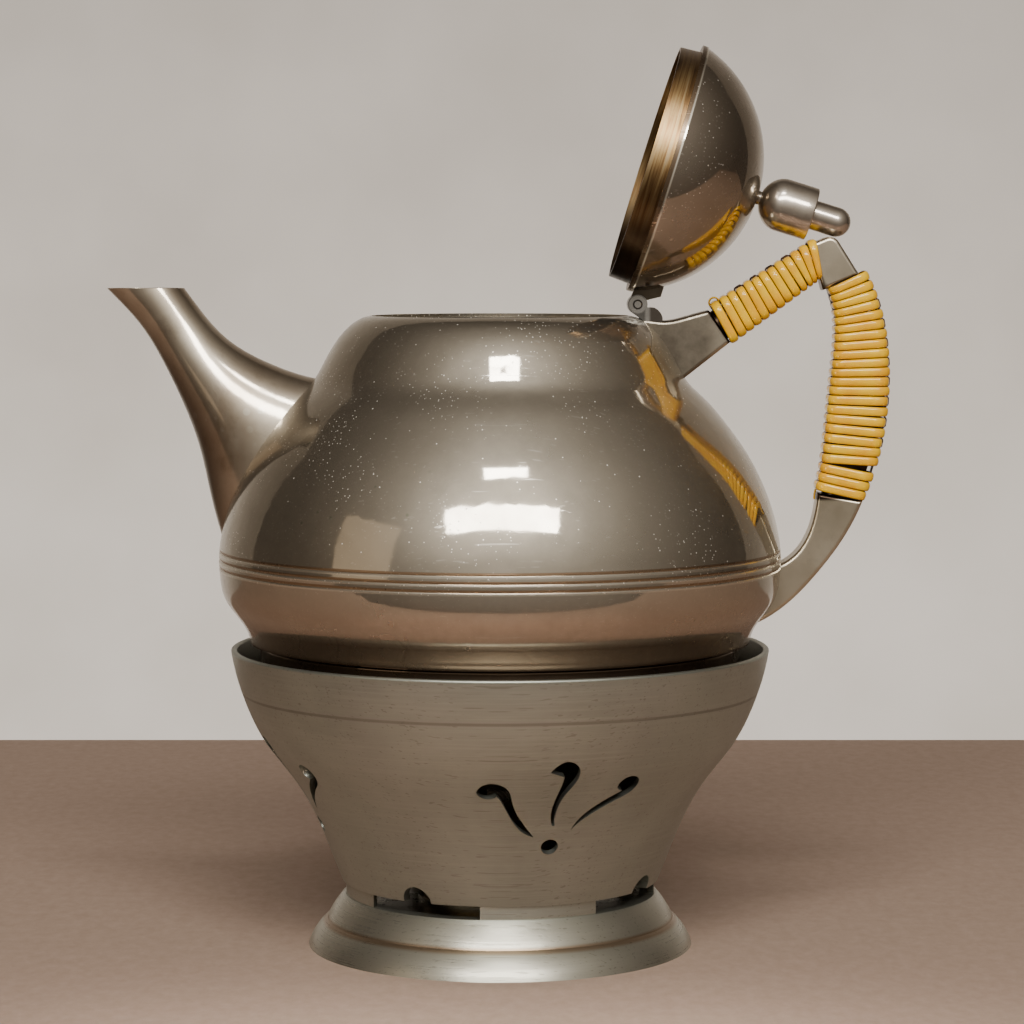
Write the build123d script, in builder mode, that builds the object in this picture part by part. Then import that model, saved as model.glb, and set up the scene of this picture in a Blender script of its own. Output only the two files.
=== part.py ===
"""Metal teapot with a hinged lid and a cane bound handle, standing on a pierced spirit warmer.

Units are millimetres. The origin is the centre of the warmer's foot on the table, +Z is up,
+X points towards the handle and -X along the spout. The lid is drawn open, as at rest.
"""

import os
from math import cos, hypot, pi, radians, sin, sqrt

from build123d import *

os.makedirs("parts", exist_ok=True)

# Warmer foot
foot_radius = 55.0
foot_height = 15.0
foot_step_height = 7.6
foot_step_radius = 49.6
foot_wall = 1.6
foot_flange_bore = 40.0

# Warmer shell
neck_radius = 44.2
neck_height = 3.9
shell_wall = 1.7
crease_radius = 73.9
crease_height = 58.5
rim_radius = 76.8
rim_height = 11.9
rim_rounding = 0.6
motif_turn = 15.0
motif_count = 4
motif_height = 32.0
motif_lean = 33.0
dot_radius = 2.4
dot_drop = 12.0
slot_turn = -30.0
slot_angle = 46.0
slot_hump_width = 8.7
slot_hump_rise = 4.6

# Ledge that carries the pot
ledge_width = 6.5
ledge_thickness = 2.0
ledge_rise = 1.0

# Spirit burner
plate_thickness = 1.2
burner_radius = 22.0
burner_height = 18.0
burner_wall = 1.2
burner_shoulder = 4.0
head_radius = 12.0
head_height = 5.0
head_plug_radius = 7.0
head_plug_depth = 4.0
wick_tube_radius = 5.0
wick_tube_wall = 1.1
wick_tube_length = 16.0
wick_tube_rise = 5.0
wick_clearance = 0.1
wick_rise = 3.0

# Pot body
base_ring_radius = 68.4
base_ring_wall = 1.6
base_height = 12.8
base_neck_drop = 1.4
base_neck_height = 0.7
body_wall = 1.2
bottom_radius = 71.2
floor_radius = 66.0
belly_radius = 80.0
belly_rise = 23.7
body_height = 92.5
mouth_radius = 36.5
mouth_edge = 0.3
groove_depth = 0.4
groove_width = 0.9
groove_over = 0.3
groove_pitch = 2.25

# Seat of the lid
seat_bore = 34.7
seat_drop = 0.9
seat_thickness = 2.2
seat_gap = 0.1

# Lid
lid_gap = 0.45
lip_thickness = 1.6
dome_radius = 37.5
dome_drop = 9.9
dome_wall = 1.2
skirt_gap = 0.6
skirt_depth = 5.9
skirt_wall = 1.0
skirt_taper = 0.4
bead_radius = 2.0
bead_height = 0.6
knob_radius = 7.55
knob_height = 15.6
knob_round = 6.8
stub_radius = 4.2
stub_length = 11.3
spigot_radius = 2.5
spigot_length = 4.0
stud_radius = 1.5
stud_clearance = 0.1
nut_flats = 6.0
nut_height = 2.0
stud_tail = 0.4

# Lid hinge
open_angle = 107.3
hinge_reach = 2.85
hinge_rise = 4.1
knuckle_radius = 2.8
pin_radius = 1.15
pin_clearance = 0.04
hinge_width = 9.8
middle_knuckle = 4.0
knuckle_gap = 0.2
pin_overhang = 0.3
leaf_length = 9.8
leaf_proud = 3.0
base_pad_length = 5.9
rest_gap = 0.3

# Spout
spout_wall = 1.2
spout_lip_height = 7.8
strainer_hole_radius = 1.6
strainer_rings = ((0.0, 1), (4.6, 6), (9.0, 12))

# Handle
handle_width = 10.0
handle_edge = 1.1
grip_bulge = 22.4

# Cane binding
cane_diameter = 1.8
cane_seat = 0.08
wrap_half_thickness = 6.1
arm_turns = 12.5
arm_pitch = 2.45
arm_half_width = 6.5
arm_taper = 1.0
grip_turns = 22.75
grip_pitch = 2.64
grip_end_half_width = 6.3
grip_end_gain = 0.7
grip_bulge_half_width = 1.95
grip_bulge_lift = 1.2
strip_width = 3.0
strip_depth = 0.8

# Levels and places worked out from the sizes above
shell_seam = foot_height + neck_height
crease_z = foot_height + crease_height
rim_z = crease_z + rim_height
ledge_z = crease_z + ledge_rise
underside_z = ledge_z + base_height
belly_z = underside_z + belly_rise
mouth_z = underside_z + body_height
seat_z = mouth_z - seat_drop
ring_foot_z = seat_z - seat_gap - seat_thickness
lip_radius = mouth_radius - lid_gap
hinge_x = lip_radius + hinge_reach
hinge_z = seat_z + hinge_rise
plate_top_z = foot_height - foot_wall
lean_cos = cos(radians(open_angle))
lean_sin = sin(radians(open_angle))


def opened(x, n):
    """Place in X and Z of a point of the lid, given by its distance from the lid's axis and above its lip."""
    dx = x - hinge_x
    dn = n - hinge_rise
    return hinge_x + dx * lean_cos + dn * lean_sin, hinge_z - dx * lean_sin + dn * lean_cos


def inset(points, wall):
    """The same outline moved inwards by a wall, along its own normals."""
    moved = []
    for i, (r, z) in enumerate(points):
        before = points[max(i - 1, 0)]
        after = points[min(i + 1, len(points) - 1)]
        dr, dz = after[0] - before[0], after[1] - before[1]
        size = hypot(dr, dz)
        moved.append((r - wall * dz / size, z + wall * dr / size))
    return moved


# Outline of the warmer wall from its seam to its crease, and of the pot from its bottom to its mouth
shell_curve = [
    (neck_radius + 1.1, shell_seam),
    (neck_radius + 4.3, shell_seam + 8.1),
    (neck_radius + 9.3, shell_seam + 20.0),
    (crease_radius - 13.6, crease_z - 23.5),
    (crease_radius - 6.6, crease_z - 14.3),
    (crease_radius - 1.9, crease_z - 5.1),
    (crease_radius, crease_z),
]
lower_curve = [
    (bottom_radius, underside_z),
    (bottom_radius + 3.0, underside_z + 6.8),
    (belly_radius - 1.8, belly_z - 11.3),
    (belly_radius - 0.3, belly_z - 4.8),
    (belly_radius, belly_z),
]
upper_curve = [
    (belly_radius, belly_z),
    (belly_radius - 0.9, belly_z + 7.4),
    (belly_radius - 3.8, belly_z + 17.5),
    (belly_radius - 9.6, belly_z + 29.5),
    (belly_radius - 16.1, belly_z + 38.7),
    (belly_radius - 22.6, belly_z + 46.0),
    (mouth_radius + 16.8, mouth_z - 18.8),
    (mouth_radius + 13.7, mouth_z - 13.6),
    (mouth_radius + 8.5, mouth_z - 5.3),
    (mouth_radius + 4.1, mouth_z - 1.4),
    (mouth_radius + mouth_edge, mouth_z),
]
upper_inner = [(belly_radius - body_wall, belly_z)] + inset(upper_curve, body_wall)[1:-2]

# Warmer shell, spun from one disc, with pierced ornament and base slots
ledge_seat_radius = crease_radius - shell_wall - 0.9
ledge_foot_z = ledge_z - ledge_thickness
with BuildPart() as warmer_shell:
    with BuildSketch(Plane.XZ):
        with BuildLine():
            Line((neck_radius - shell_wall, foot_height), (neck_radius, foot_height))
            Line((neck_radius, foot_height), (neck_radius, shell_seam))
            Line((neck_radius, shell_seam), shell_curve[0])
            Spline(*shell_curve)
            ThreePointArc(
                (crease_radius, crease_z),
                ((crease_radius + rim_radius) / 2 + 0.3, (crease_z + rim_z) / 2),
                (rim_radius, rim_z),
            )
            Line((rim_radius, rim_z), (rim_radius - shell_wall, rim_z))
            Line((rim_radius - shell_wall, rim_z), (crease_radius - shell_wall + 0.8, ledge_z + 1.2))
            Line((crease_radius - shell_wall + 0.8, ledge_z + 1.2), (ledge_seat_radius, ledge_z + 1.2))
            Line((ledge_seat_radius, ledge_z + 1.2), (ledge_seat_radius, ledge_foot_z - 0.6))
            Spline((ledge_seat_radius, ledge_foot_z - 0.6), *inset(shell_curve, shell_wall)[-3:0:-1],
                   (neck_radius - shell_wall, shell_seam + 1.0))
            Line((neck_radius - shell_wall, shell_seam + 1.0), (neck_radius - shell_wall, foot_height))
        make_face()
    revolve(axis=Axis.Z)
    rim_edges = warmer_shell.edges().group_by(Axis.Z)[-1]
    fillet(rim_edges, rim_rounding)

# The ornament is one dot below three commas, drawn flat on the leaning wall
    motif_r = neck_radius + 14.0
    for turn in range(motif_count):
        heading = radians(motif_turn + turn * 360 / motif_count)
        out = Vector(sin(heading), -cos(heading), 0)
        lean = radians(motif_lean)
        face_normal = out * cos(lean) - Vector(0, 0, 1) * sin(lean)
        centre = out * motif_r + Vector(0, 0, foot_height + motif_height)
        wall_plane = Plane(origin=centre, x_dir=(cos(heading), sin(heading), 0), z_dir=face_normal)
        with BuildSketch(wall_plane):
            with Locations((0, -dot_drop)):
                Circle(dot_radius)
            with BuildLine():
                Spline((-0.2, -5.0), (-1.1, 1.0), (-0.5, 6.3), (0.3, 13.5))
                Line((0.3, 13.5), (-3.7, 15.1))
                Spline((-3.7, 15.1), (-2.3, 17.3), (0.6, 18.8), (4.0, 16.6), (4.3, 12.4), (1.6, 6.1), (0.3, 0.0),
                       (0.6, -5.0))
                Line((0.6, -5.0), (-0.2, -5.0))
            make_face()
            with BuildLine():
                Spline((-4.8, -8.7), (-7.6, -7.6), (-13.5, 0.2), (-16.8, 5.2))
                Spline((-16.8, 5.2), (-19.5, 3.7), (-22.0, 5.2), (-21.4, 8.3), (-18.2, 10.0), (-14.2, 8.0),
                       (-12.0, 2.4), (-8.0, -4.6), (-4.8, -8.7))
            make_face()
            with BuildLine():
                Spline((5.4, -6.9), (8.0, -2.3), (12.4, 1.6), (18.4, 5.0))
                Spline((18.4, 5.0), (16.9, 8.0), (19.7, 10.3), (22.8, 8.6), (22.2, 4.6), (17.8, 1.8), (9.6, -2.8),
                       (5.4, -6.9))
            make_face()
        extrude(amount=8, both=True, mode=Mode.SUBTRACT)

# Air slots at the foot, each with a bell shaped hump
    for turn in range(motif_count):
        heading = radians(slot_turn + turn * 360 / motif_count)
        slot_plane = Plane(origin=(0, 0, foot_height), x_dir=(cos(heading), sin(heading), 0),
                           z_dir=(sin(heading), -cos(heading), 0))
        half_slot = neck_radius * sin(radians(slot_angle / 2))
        with BuildSketch(slot_plane):
            with BuildLine():
                Polyline((-slot_hump_width / 2, neck_height), (-half_slot, neck_height), (-half_slot, -1.0),
                         (half_slot, -1.0), (half_slot, neck_height), (slot_hump_width / 2, neck_height))
                Spline((slot_hump_width / 2, neck_height),
                       (slot_hump_width * 0.36, neck_height + slot_hump_rise * 0.7),
                       (0, neck_height + slot_hump_rise),
                       (-slot_hump_width * 0.36, neck_height + slot_hump_rise * 0.7),
                       (-slot_hump_width / 2, neck_height))
            make_face()
        extrude(amount=neck_radius + 12, mode=Mode.SUBTRACT)
warmer_shell.part.label = "warmer_shell"
export_step(warmer_shell.part, "parts/warmer_shell.step")

# Foot, a spun ring of two tiers with a flange that the shell stands on
with BuildPart() as warmer_foot:
    with BuildSketch(Plane.XZ):
        with BuildLine():
            Line((foot_flange_bore, foot_height), (neck_radius + 0.4, foot_height))
            Spline((neck_radius + 0.4, foot_height), (neck_radius + 2.6, foot_height - 2.6),
                   (foot_step_radius, foot_step_height))
            Line((foot_step_radius, foot_step_height), (foot_step_radius + 0.6, foot_step_height - 0.4))
            Spline((foot_step_radius + 0.6, foot_step_height - 0.4), (foot_radius - 1.7, 3.6),
                   (foot_radius, 0.0))
            Line((foot_radius, 0.0), (foot_radius - foot_wall * 1.1, 0.0))
            Spline((foot_radius - foot_wall * 1.1, 0.0), (foot_radius - foot_wall - 1.5, 2.8),
                   (foot_step_radius - foot_wall * 0.8, foot_step_height - foot_wall),
                   (neck_radius - 0.2, foot_height - foot_wall))
            Line((neck_radius - 0.2, foot_height - foot_wall), (foot_flange_bore, foot_height - foot_wall))
            Line((foot_flange_bore, foot_height - foot_wall), (foot_flange_bore, foot_height))
        make_face()
    revolve(axis=Axis.Z)
warmer_foot.part.label = "warmer_foot"
export_step(warmer_foot.part, "parts/warmer_foot.step")

# Floor plate of the warmer, held under the flange, with a raised ring that centres the burner
plate_radius = neck_radius - 1.6
locating_ring_height = 0.8
locating_gap = 0.5
with BuildPart() as burner_plate:
    with BuildSketch(Plane.XY.offset(plate_top_z - plate_thickness)):
        Circle(plate_radius)
    extrude(amount=plate_thickness)
    with BuildSketch(Plane.XY.offset(plate_top_z)):
        Circle(burner_radius + locating_gap + 1.0)
        Circle(burner_radius + locating_gap, mode=Mode.SUBTRACT)
    extrude(amount=locating_ring_height)
burner_plate.part.label = "burner_plate"
export_step(burner_plate.part, "parts/burner_plate.step")

# Ledge ring inside the crease
with BuildPart() as rest_ring:
    with BuildSketch(Plane.XY.offset(ledge_foot_z)):
        Circle(ledge_seat_radius)
        Circle(ledge_seat_radius - ledge_width, mode=Mode.SUBTRACT)
    extrude(amount=ledge_thickness)
    chamfer(rest_ring.edges().group_by(Axis.Z)[0].sort_by(SortBy.RADIUS)[:1], 0.6)
rest_ring.part.label = "rest_ring"
export_step(rest_ring.part, "parts/rest_ring.step")

# Burner can with rounded shoulder and an open neck for its head
reservoir_top = plate_top_z + burner_height
with BuildPart() as burner_reservoir:
    with BuildSketch(Plane.XZ):
        with BuildLine():
            Polyline((0, plate_top_z), (burner_radius, plate_top_z),
                     (burner_radius, reservoir_top - burner_shoulder))
            RadiusArc((burner_radius, reservoir_top - burner_shoulder),
                      (burner_radius - burner_shoulder, reservoir_top), -burner_shoulder)
            inner = burner_radius - burner_wall
            inner_round = burner_shoulder - burner_wall
            Polyline((burner_radius - burner_shoulder, reservoir_top), (head_plug_radius, reservoir_top),
                     (head_plug_radius, reservoir_top - burner_wall),
                     (inner - inner_round, reservoir_top - burner_wall))
            RadiusArc((inner - inner_round, reservoir_top - burner_wall),
                      (inner, reservoir_top - burner_shoulder), inner_round)
            Polyline((inner, reservoir_top - burner_shoulder), (inner, plate_top_z + burner_wall),
                     (0, plate_top_z + burner_wall), (0, plate_top_z))
        make_face()
    revolve(axis=Axis.Z)
burner_reservoir.part.label = "burner_reservoir"
export_step(burner_reservoir.part, "parts/burner_reservoir.step")

# Burner head, a knurled cap with a plug, bored for the wick tube
with BuildPart() as burner_head:
    with BuildSketch(Plane.XY.offset(reservoir_top)):
        Circle(head_radius)
    extrude(amount=head_height)
    fillet(burner_head.edges().group_by(Axis.Z)[-1], 1.2)
    with BuildSketch(Plane.XY.offset(reservoir_top - head_plug_depth)):
        Circle(head_plug_radius)
    extrude(amount=head_plug_depth)
    with BuildSketch(Plane.XY.offset(reservoir_top - head_plug_depth)):
        Circle(wick_tube_radius)
    extrude(amount=head_plug_depth + head_height, mode=Mode.SUBTRACT)
    with BuildSketch(Plane.XY.offset(reservoir_top)):
        with PolarLocations(head_radius + 0.5, 24):
            Circle(1.0)
    extrude(amount=head_height - 1.6, mode=Mode.SUBTRACT)
burner_head.part.label = "burner_head"
export_step(burner_head.part, "parts/burner_head.step")

# Wick tube and the wick that stands in the can and shows above it
tube_top = reservoir_top + head_height + wick_tube_rise
wick_radius = wick_tube_radius - wick_tube_wall - wick_clearance
with BuildPart() as wick_tube:
    with BuildSketch(Plane.XY.offset(tube_top - wick_tube_length)):
        Circle(wick_tube_radius)
        Circle(wick_tube_radius - wick_tube_wall, mode=Mode.SUBTRACT)
    extrude(amount=wick_tube_length)
wick_tube.part.label = "wick_tube"
export_step(wick_tube.part, "parts/wick_tube.step")

with BuildPart() as wick:
    with BuildSketch(Plane.XY.offset(plate_top_z + burner_wall)):
        Circle(wick_radius)
    extrude(amount=tube_top + wick_rise - plate_top_z - burner_wall)
    fillet(wick.edges().group_by(Axis.Z)[-1], 1.0)
wick.part.label = "wick"
export_step(wick.part, "parts/wick.step")

# The pot's outside as a filled form, used to seat what is soldered to it
with BuildPart() as pot_form:
    with BuildSketch(Plane.XZ):
        with BuildLine():
            Spline(*lower_curve)
            Spline(*upper_curve)
            Polyline(upper_curve[-1], (0, mouth_z), (0, underside_z), lower_curve[0])
        make_face()
    revolve(axis=Axis.Z)

# Pot body with a turned-in floor edge, a turned-down mouth, three grooves and a pierced strainer
strainer_z = belly_z + 30.0
strainer_slope = 30.0
strainer_x = -(belly_radius - 10.0)
with BuildPart() as pot_body:
    with BuildSketch(Plane.XZ):
        with BuildLine():
            Spline(*lower_curve)
            Spline(*upper_curve)
            Line(upper_curve[-1], (mouth_radius, mouth_z))
            Polyline((mouth_radius, mouth_z), (mouth_radius, ring_foot_z), (mouth_radius + body_wall, ring_foot_z),
                     (mouth_radius + body_wall, mouth_z - 1.6))
            Spline((mouth_radius + body_wall, mouth_z - 1.6), *upper_inner[::-1])
            Spline(upper_inner[0], *inset(lower_curve, body_wall)[-2:0:-1],
                   (bottom_radius - 0.2, underside_z + body_wall))
            Line((bottom_radius - 0.2, underside_z + body_wall), (floor_radius, underside_z + body_wall))
            Line((floor_radius, underside_z + body_wall), (floor_radius, underside_z))
            Line((floor_radius, underside_z), lower_curve[0])
        make_face()
    revolve(axis=Axis.Z)
    with BuildSketch(Plane.XZ):
        for step in (-1, 0, 1):
            groove_z = belly_z + step * groove_pitch
            with BuildLine():
                Polyline((belly_radius + groove_over, groove_z + groove_width), (belly_radius - groove_depth, groove_z),
                         (belly_radius + groove_over, groove_z - groove_width), close=True)
            make_face()
    revolve(axis=Axis.Z, mode=Mode.SUBTRACT)
    strainer_plane = Plane(origin=(strainer_x, 0, strainer_z), x_dir=(0, 1, 0),
                           z_dir=(-cos(radians(strainer_slope)), 0, sin(radians(strainer_slope))))
    with BuildSketch(strainer_plane):
        for ring_radius, holes in strainer_rings:
            with PolarLocations(ring_radius, holes):
                Circle(strainer_hole_radius)
    extrude(amount=9, both=True, mode=Mode.SUBTRACT)
pot_body.part.label = "pot_body"
export_step(pot_body.part, "parts/pot_body.step")

# Floor of the pot, let into the turned-in edge
with BuildPart() as pot_floor:
    with BuildSketch(Plane.XY.offset(underside_z)):
        Circle(floor_radius)
    extrude(amount=body_wall)
pot_floor.part.label = "pot_floor"
export_step(pot_floor.part, "parts/pot_floor.step")

# Base ring that enters the warmer and stands on its ledge
with BuildPart() as base_ring:
    with BuildSketch(Plane.XZ):
        with BuildLine():
            neck_outer = base_ring_radius - base_neck_drop
            ring_inner = base_ring_radius - base_ring_wall
            Polyline((ring_inner, ledge_z), (base_ring_radius, ledge_z),
                     (base_ring_radius, underside_z - base_neck_height),
                     (neck_outer, underside_z - base_neck_height), (neck_outer, underside_z),
                     (ring_inner - base_neck_drop, underside_z),
                     (ring_inner - base_neck_drop, underside_z - base_neck_height - base_ring_wall),
                     (ring_inner, underside_z - base_neck_height - base_ring_wall * 2), close=True)
        make_face()
    revolve(axis=Axis.Z)
    fillet(base_ring.edges().filter_by(GeomType.CIRCLE).group_by(SortBy.RADIUS)[-1].sort_by(Axis.Z)[-1:], 0.6)
base_ring.part.label = "base_ring"
export_step(base_ring.part, "parts/base_ring.step")

# Seat ring in the mouth
with BuildPart() as mouth_ring:
    with BuildSketch(Plane.XY.offset(ring_foot_z)):
        Circle(mouth_radius)
        Circle(seat_bore, mode=Mode.SUBTRACT)
    extrude(amount=seat_thickness)
mouth_ring.part.label = "mouth_ring"
export_step(mouth_ring.part, "parts/mouth_ring.step")

# Spout stations, each given by its lower and its upper side and its half width across
spout_tip_z = mouth_z + spout_lip_height
spout_stations = (
    ((belly_radius + 37.4, mouth_z + 16.5), (belly_radius + 25.8, mouth_z + 27.7), 7.0),
    ((belly_radius + 28.6, mouth_z + 4.8), (belly_radius + 17.2, mouth_z + 16.5), 7.1),
    ((belly_radius + 20.3, mouth_z - 5.0), (belly_radius + 8.2, mouth_z + 5.9), 7.7),
    ((belly_radius + 13.9, mouth_z - 16.5), (belly_radius - 0.1, mouth_z - 4.4), 9.1),
    ((belly_radius + 8.7, mouth_z - 28.0), (belly_radius - 8.3, mouth_z - 10.5), 11.3),
    ((belly_radius + 5.2, mouth_z - 38.3), (belly_radius - 18.1, mouth_z - 15.0), 13.4),
    ((belly_radius + 2.1, mouth_z - 52.3), (belly_radius - 32.0, mouth_z - 18.2), 15.0),
    ((belly_radius - 2.6, mouth_z - 73.0), (belly_radius - 52.0, mouth_z - 23.6), 16.2),
)


def station_plane(low, high):
    """The plane across the spout through a station's two sides, and half its length there."""
    span_x, span_z = low[0] - high[0], high[1] - low[1]
    middle = (-(low[0] + high[0]) / 2, 0, (low[1] + high[1]) / 2)
    return Plane(origin=middle, x_dir=(span_x, 0, span_z), z_dir=(-span_z, 0, span_x)), hypot(span_x, span_z) / 2


with BuildPart() as spout_bore:
    for low, high, half_width in spout_stations:
        across, half_length = station_plane(low, high)
        with BuildSketch(across):
            Ellipse(half_length - spout_wall, half_width - spout_wall)
    loft()

# Spout, cut level at its tip and seated on the pot
with BuildPart() as spout:
    for low, high, half_width in spout_stations:
        across, half_length = station_plane(low, high)
        with BuildSketch(across):
            Ellipse(half_length, half_width)
    loft()
    add(spout_bore.part, mode=Mode.SUBTRACT)
    split(bisect_by=Plane.XY.offset(spout_tip_z), keep=Keep.BOTTOM)
    add(pot_form.part, mode=Mode.SUBTRACT)
spout.part.label = "spout"
export_step(spout.part, "parts/spout.step")

# Lid, drawn in its own section plane, which the hinge has swung open
lid_x, lid_z = opened(0, 0)
lid_section = Plane(origin=(lid_x, 0, lid_z), x_dir=(lean_cos, 0, -lean_sin), z_dir=(0, -1, 0))
lid_axis = Axis((lid_x, 0, lid_z), (lean_sin, 0, lean_cos))
skirt_radius = seat_bore - skirt_gap
dome_inner = dome_radius - dome_wall
stud_bore = stud_radius + stud_clearance


def dome_r(radius, n):
    """Radius about the lid's axis of a dome of the given radius, at a height above the lip."""
    return sqrt(radius ** 2 - (n + dome_drop) ** 2)


def dome_n(radius, r):
    """Height above the lip of a dome of the given radius, at a radius about the lid's axis."""
    return sqrt(radius ** 2 - r ** 2) - dome_drop


dome_top = dome_n(dome_radius, bead_radius)
nut_seat = dome_n(dome_inner, nut_flats * 0.75)
flange_n = 1.0
dome_outer_arc = ((dome_r(dome_radius, lip_thickness), lip_thickness),
                  (dome_r(dome_radius, dome_top * 0.6), dome_top * 0.6),
                  (bead_radius, dome_top))
with BuildPart() as dome_form:
    with BuildSketch(lid_section):
        with BuildLine():
            ThreePointArc(*dome_outer_arc)
            Polyline((bead_radius, dome_top), (0, dome_top), (0, 0), (lip_radius, 0), (lip_radius, lip_thickness),
                     dome_outer_arc[0])
        make_face()
    revolve(axis=lid_axis)

# Domed lid with its flat lip and a hole for the knob's stud
with BuildPart() as lid_dome:
    with BuildSketch(lid_section):
        with BuildLine():
            ThreePointArc(*dome_outer_arc)
            Polyline((bead_radius, dome_top), (stud_bore, dome_top), (stud_bore, nut_seat),
                     (nut_flats * 0.75, nut_seat))
            ThreePointArc((nut_flats * 0.75, nut_seat),
                          (dome_r(dome_inner, nut_seat * 0.6), nut_seat * 0.6),
                          (dome_r(dome_inner, flange_n), flange_n))
            Polyline((dome_r(dome_inner, flange_n), flange_n), (skirt_radius - skirt_wall, flange_n),
                     (skirt_radius - skirt_wall, 0), (lip_radius, 0), (lip_radius, lip_thickness),
                     dome_outer_arc[0])
        make_face()
    revolve(axis=lid_axis)
lid_dome.part.label = "lid_dome"
export_step(lid_dome.part, "parts/lid_dome.step")

# Skirt that drops into the mouth
with BuildPart() as lid_skirt:
    with BuildSketch(lid_section):
        with BuildLine():
            Polyline((skirt_radius, 0), (skirt_radius - skirt_taper, -skirt_depth),
                     (skirt_radius - skirt_taper - skirt_wall, -skirt_depth),
                     (skirt_radius - skirt_wall, 0), close=True)
        make_face()
    revolve(axis=lid_axis)
lid_skirt.part.label = "lid_skirt"
export_step(lid_skirt.part, "parts/lid_skirt.step")

# Bead between the dome and the knob
bead_top = dome_top + bead_height
with BuildPart() as lid_bead:
    with BuildSketch(lid_section):
        with BuildLine():
            Line((stud_bore, dome_top), (bead_radius - 0.1, dome_top))
            ThreePointArc((bead_radius - 0.1, dome_top), (bead_radius, dome_top + bead_height / 2),
                          (bead_radius - 0.1, bead_top))
            Polyline((bead_radius - 0.1, bead_top), (stud_bore, bead_top), (stud_bore, dome_top))
        make_face()
    revolve(axis=lid_axis)
lid_bead.part.label = "lid_bead"
export_step(lid_bead.part, "parts/lid_bead.step")

# Bell shaped knob with the stud that goes through the dome
knob_top = bead_top + knob_height
stud_end = nut_seat - nut_height - stud_tail
with BuildPart() as lid_knob:
    with BuildSketch(lid_section):
        with BuildLine():
            Polyline((0, stud_end), (stud_radius, stud_end), (stud_radius, bead_top), (bead_radius - 0.1, bead_top))
            Spline((bead_radius - 0.1, bead_top), (knob_radius - 3.4, bead_top + 1.6),
                   (knob_radius - 1.5, bead_top + 3.5), (knob_radius - 0.5, bead_top + 5.0),
                   (knob_radius, bead_top + knob_round),
                   tangents=((1, 0.5), (0, 1)))
            Polyline((knob_radius, bead_top + knob_round), (knob_radius, knob_top - 0.4),
                     (knob_radius - 0.4, knob_top), (spigot_radius, knob_top),
                     (spigot_radius, knob_top - spigot_length), (0, knob_top - spigot_length), (0, stud_end))
        make_face()
    revolve(axis=lid_axis)
lid_knob.part.label = "lid_knob"
export_step(lid_knob.part, "parts/lid_knob.step")

# Finger stub let into the knob's end
stub_end = knob_top + stub_length
with BuildPart() as knob_stub:
    with BuildSketch(lid_section):
        with BuildLine():
            Polyline((0, knob_top - spigot_length), (spigot_radius, knob_top - spigot_length),
                     (spigot_radius, knob_top), (stub_radius, knob_top), (stub_radius, stub_end - stub_radius))
            RadiusArc((stub_radius, stub_end - stub_radius), (0, stub_end), -stub_radius)
            Line((0, stub_end), (0, knob_top - spigot_length))
        make_face()
    revolve(axis=lid_axis)
knob_stub.part.label = "knob_stub"
export_step(knob_stub.part, "parts/knob_stub.step")

# Nut inside the dome
nut_x, nut_z = opened(0, nut_seat - nut_height)
with BuildPart() as knob_nut:
    with BuildSketch(Plane(origin=(nut_x, 0, nut_z), x_dir=(lean_cos, 0, -lean_sin),
                           z_dir=(lean_sin, 0, lean_cos))):
        RegularPolygon(nut_flats / 2, 6, major_radius=False)
        Circle(stud_radius, mode=Mode.SUBTRACT)
    extrude(amount=nut_height)
knob_nut.part.label = "knob_nut"
export_step(knob_nut.part, "parts/knob_nut.step")

# Hinge leaf on the lid, with the middle knuckle
leaf_tip_r = dome_r(dome_radius, leaf_length)
with BuildPart() as lid_hinge_leaf:
    with BuildSketch(lid_section):
        with Locations((hinge_x, hinge_rise)):
            Circle(knuckle_radius)
        with BuildLine():
            Polyline((lip_radius - 3.0, lip_thickness + 0.7), (hinge_x - 1.5, hinge_rise - 2.35),
                     (hinge_x, hinge_rise), (hinge_x - 1.86, hinge_rise + 2.09),
                     (leaf_tip_r + leaf_proud, leaf_length), (leaf_tip_r - 2.0, leaf_length), close=True)
        make_face()
        with Locations((hinge_x, hinge_rise)):
            Circle(pin_radius + pin_clearance, mode=Mode.SUBTRACT)
    extrude(amount=middle_knuckle / 2, both=True)
    add(dome_form.part, mode=Mode.SUBTRACT)
lid_hinge_leaf.part.label = "lid_hinge_leaf"
export_step(lid_hinge_leaf.part, "parts/lid_hinge_leaf.step")

# Corner of the handle, placed just under the stub of the open lid
stub_x, stub_z = opened(0, stub_end - stub_radius)
corner_round = 3.0
apex_shift = -2.0
corner_reach = corner_round + stub_radius + rest_gap
apex = Vector(stub_x + apex_shift, stub_z - sqrt(corner_reach ** 2 - apex_shift ** 2) + corner_round)
corner_rise = 22.0
corner_fall = 57.6
corner_centre = apex - Vector(0, corner_round)
corner_left = corner_centre + Vector(-sin(radians(corner_rise)), cos(radians(corner_rise))) * corner_round
corner_right = corner_centre + Vector(sin(radians(corner_fall)), cos(radians(corner_fall))) * corner_round
corner_arm_top = corner_left - Vector(cos(radians(corner_rise)), sin(radians(corner_rise))) * 4.6
corner_grip_outer = corner_right + Vector(cos(radians(corner_fall)), -sin(radians(corner_fall))) * 11.0
corner_inside = apex + Vector(-1.9, -15.0)

# Centre lines under the cane: a straight arm and an arched grip
arm_from = Vector(mouth_radius + 27.1, mouth_z - 1.7)
arm_to = apex + Vector(-5.4, -7.4)
arm_length = (arm_to - arm_from).length
arm_heading = (arm_to - arm_from).normalized()
arm_outward = Vector(-arm_heading.Y, arm_heading.X)
grip_from = apex + Vector(3.9, -14.3)
grip_to = Vector(belly_radius + 17.0, belly_z + 19.0)
grip_line = Spline(grip_from, (belly_radius + grip_bulge, belly_z + 55.0),
                   (belly_radius + grip_bulge - 1.2, belly_z + 38.0), grip_to,
                   tangents=((0.36, -0.93), (-0.27, -0.96)), mode=Mode.PRIVATE)
grip_length = grip_line.length


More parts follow.
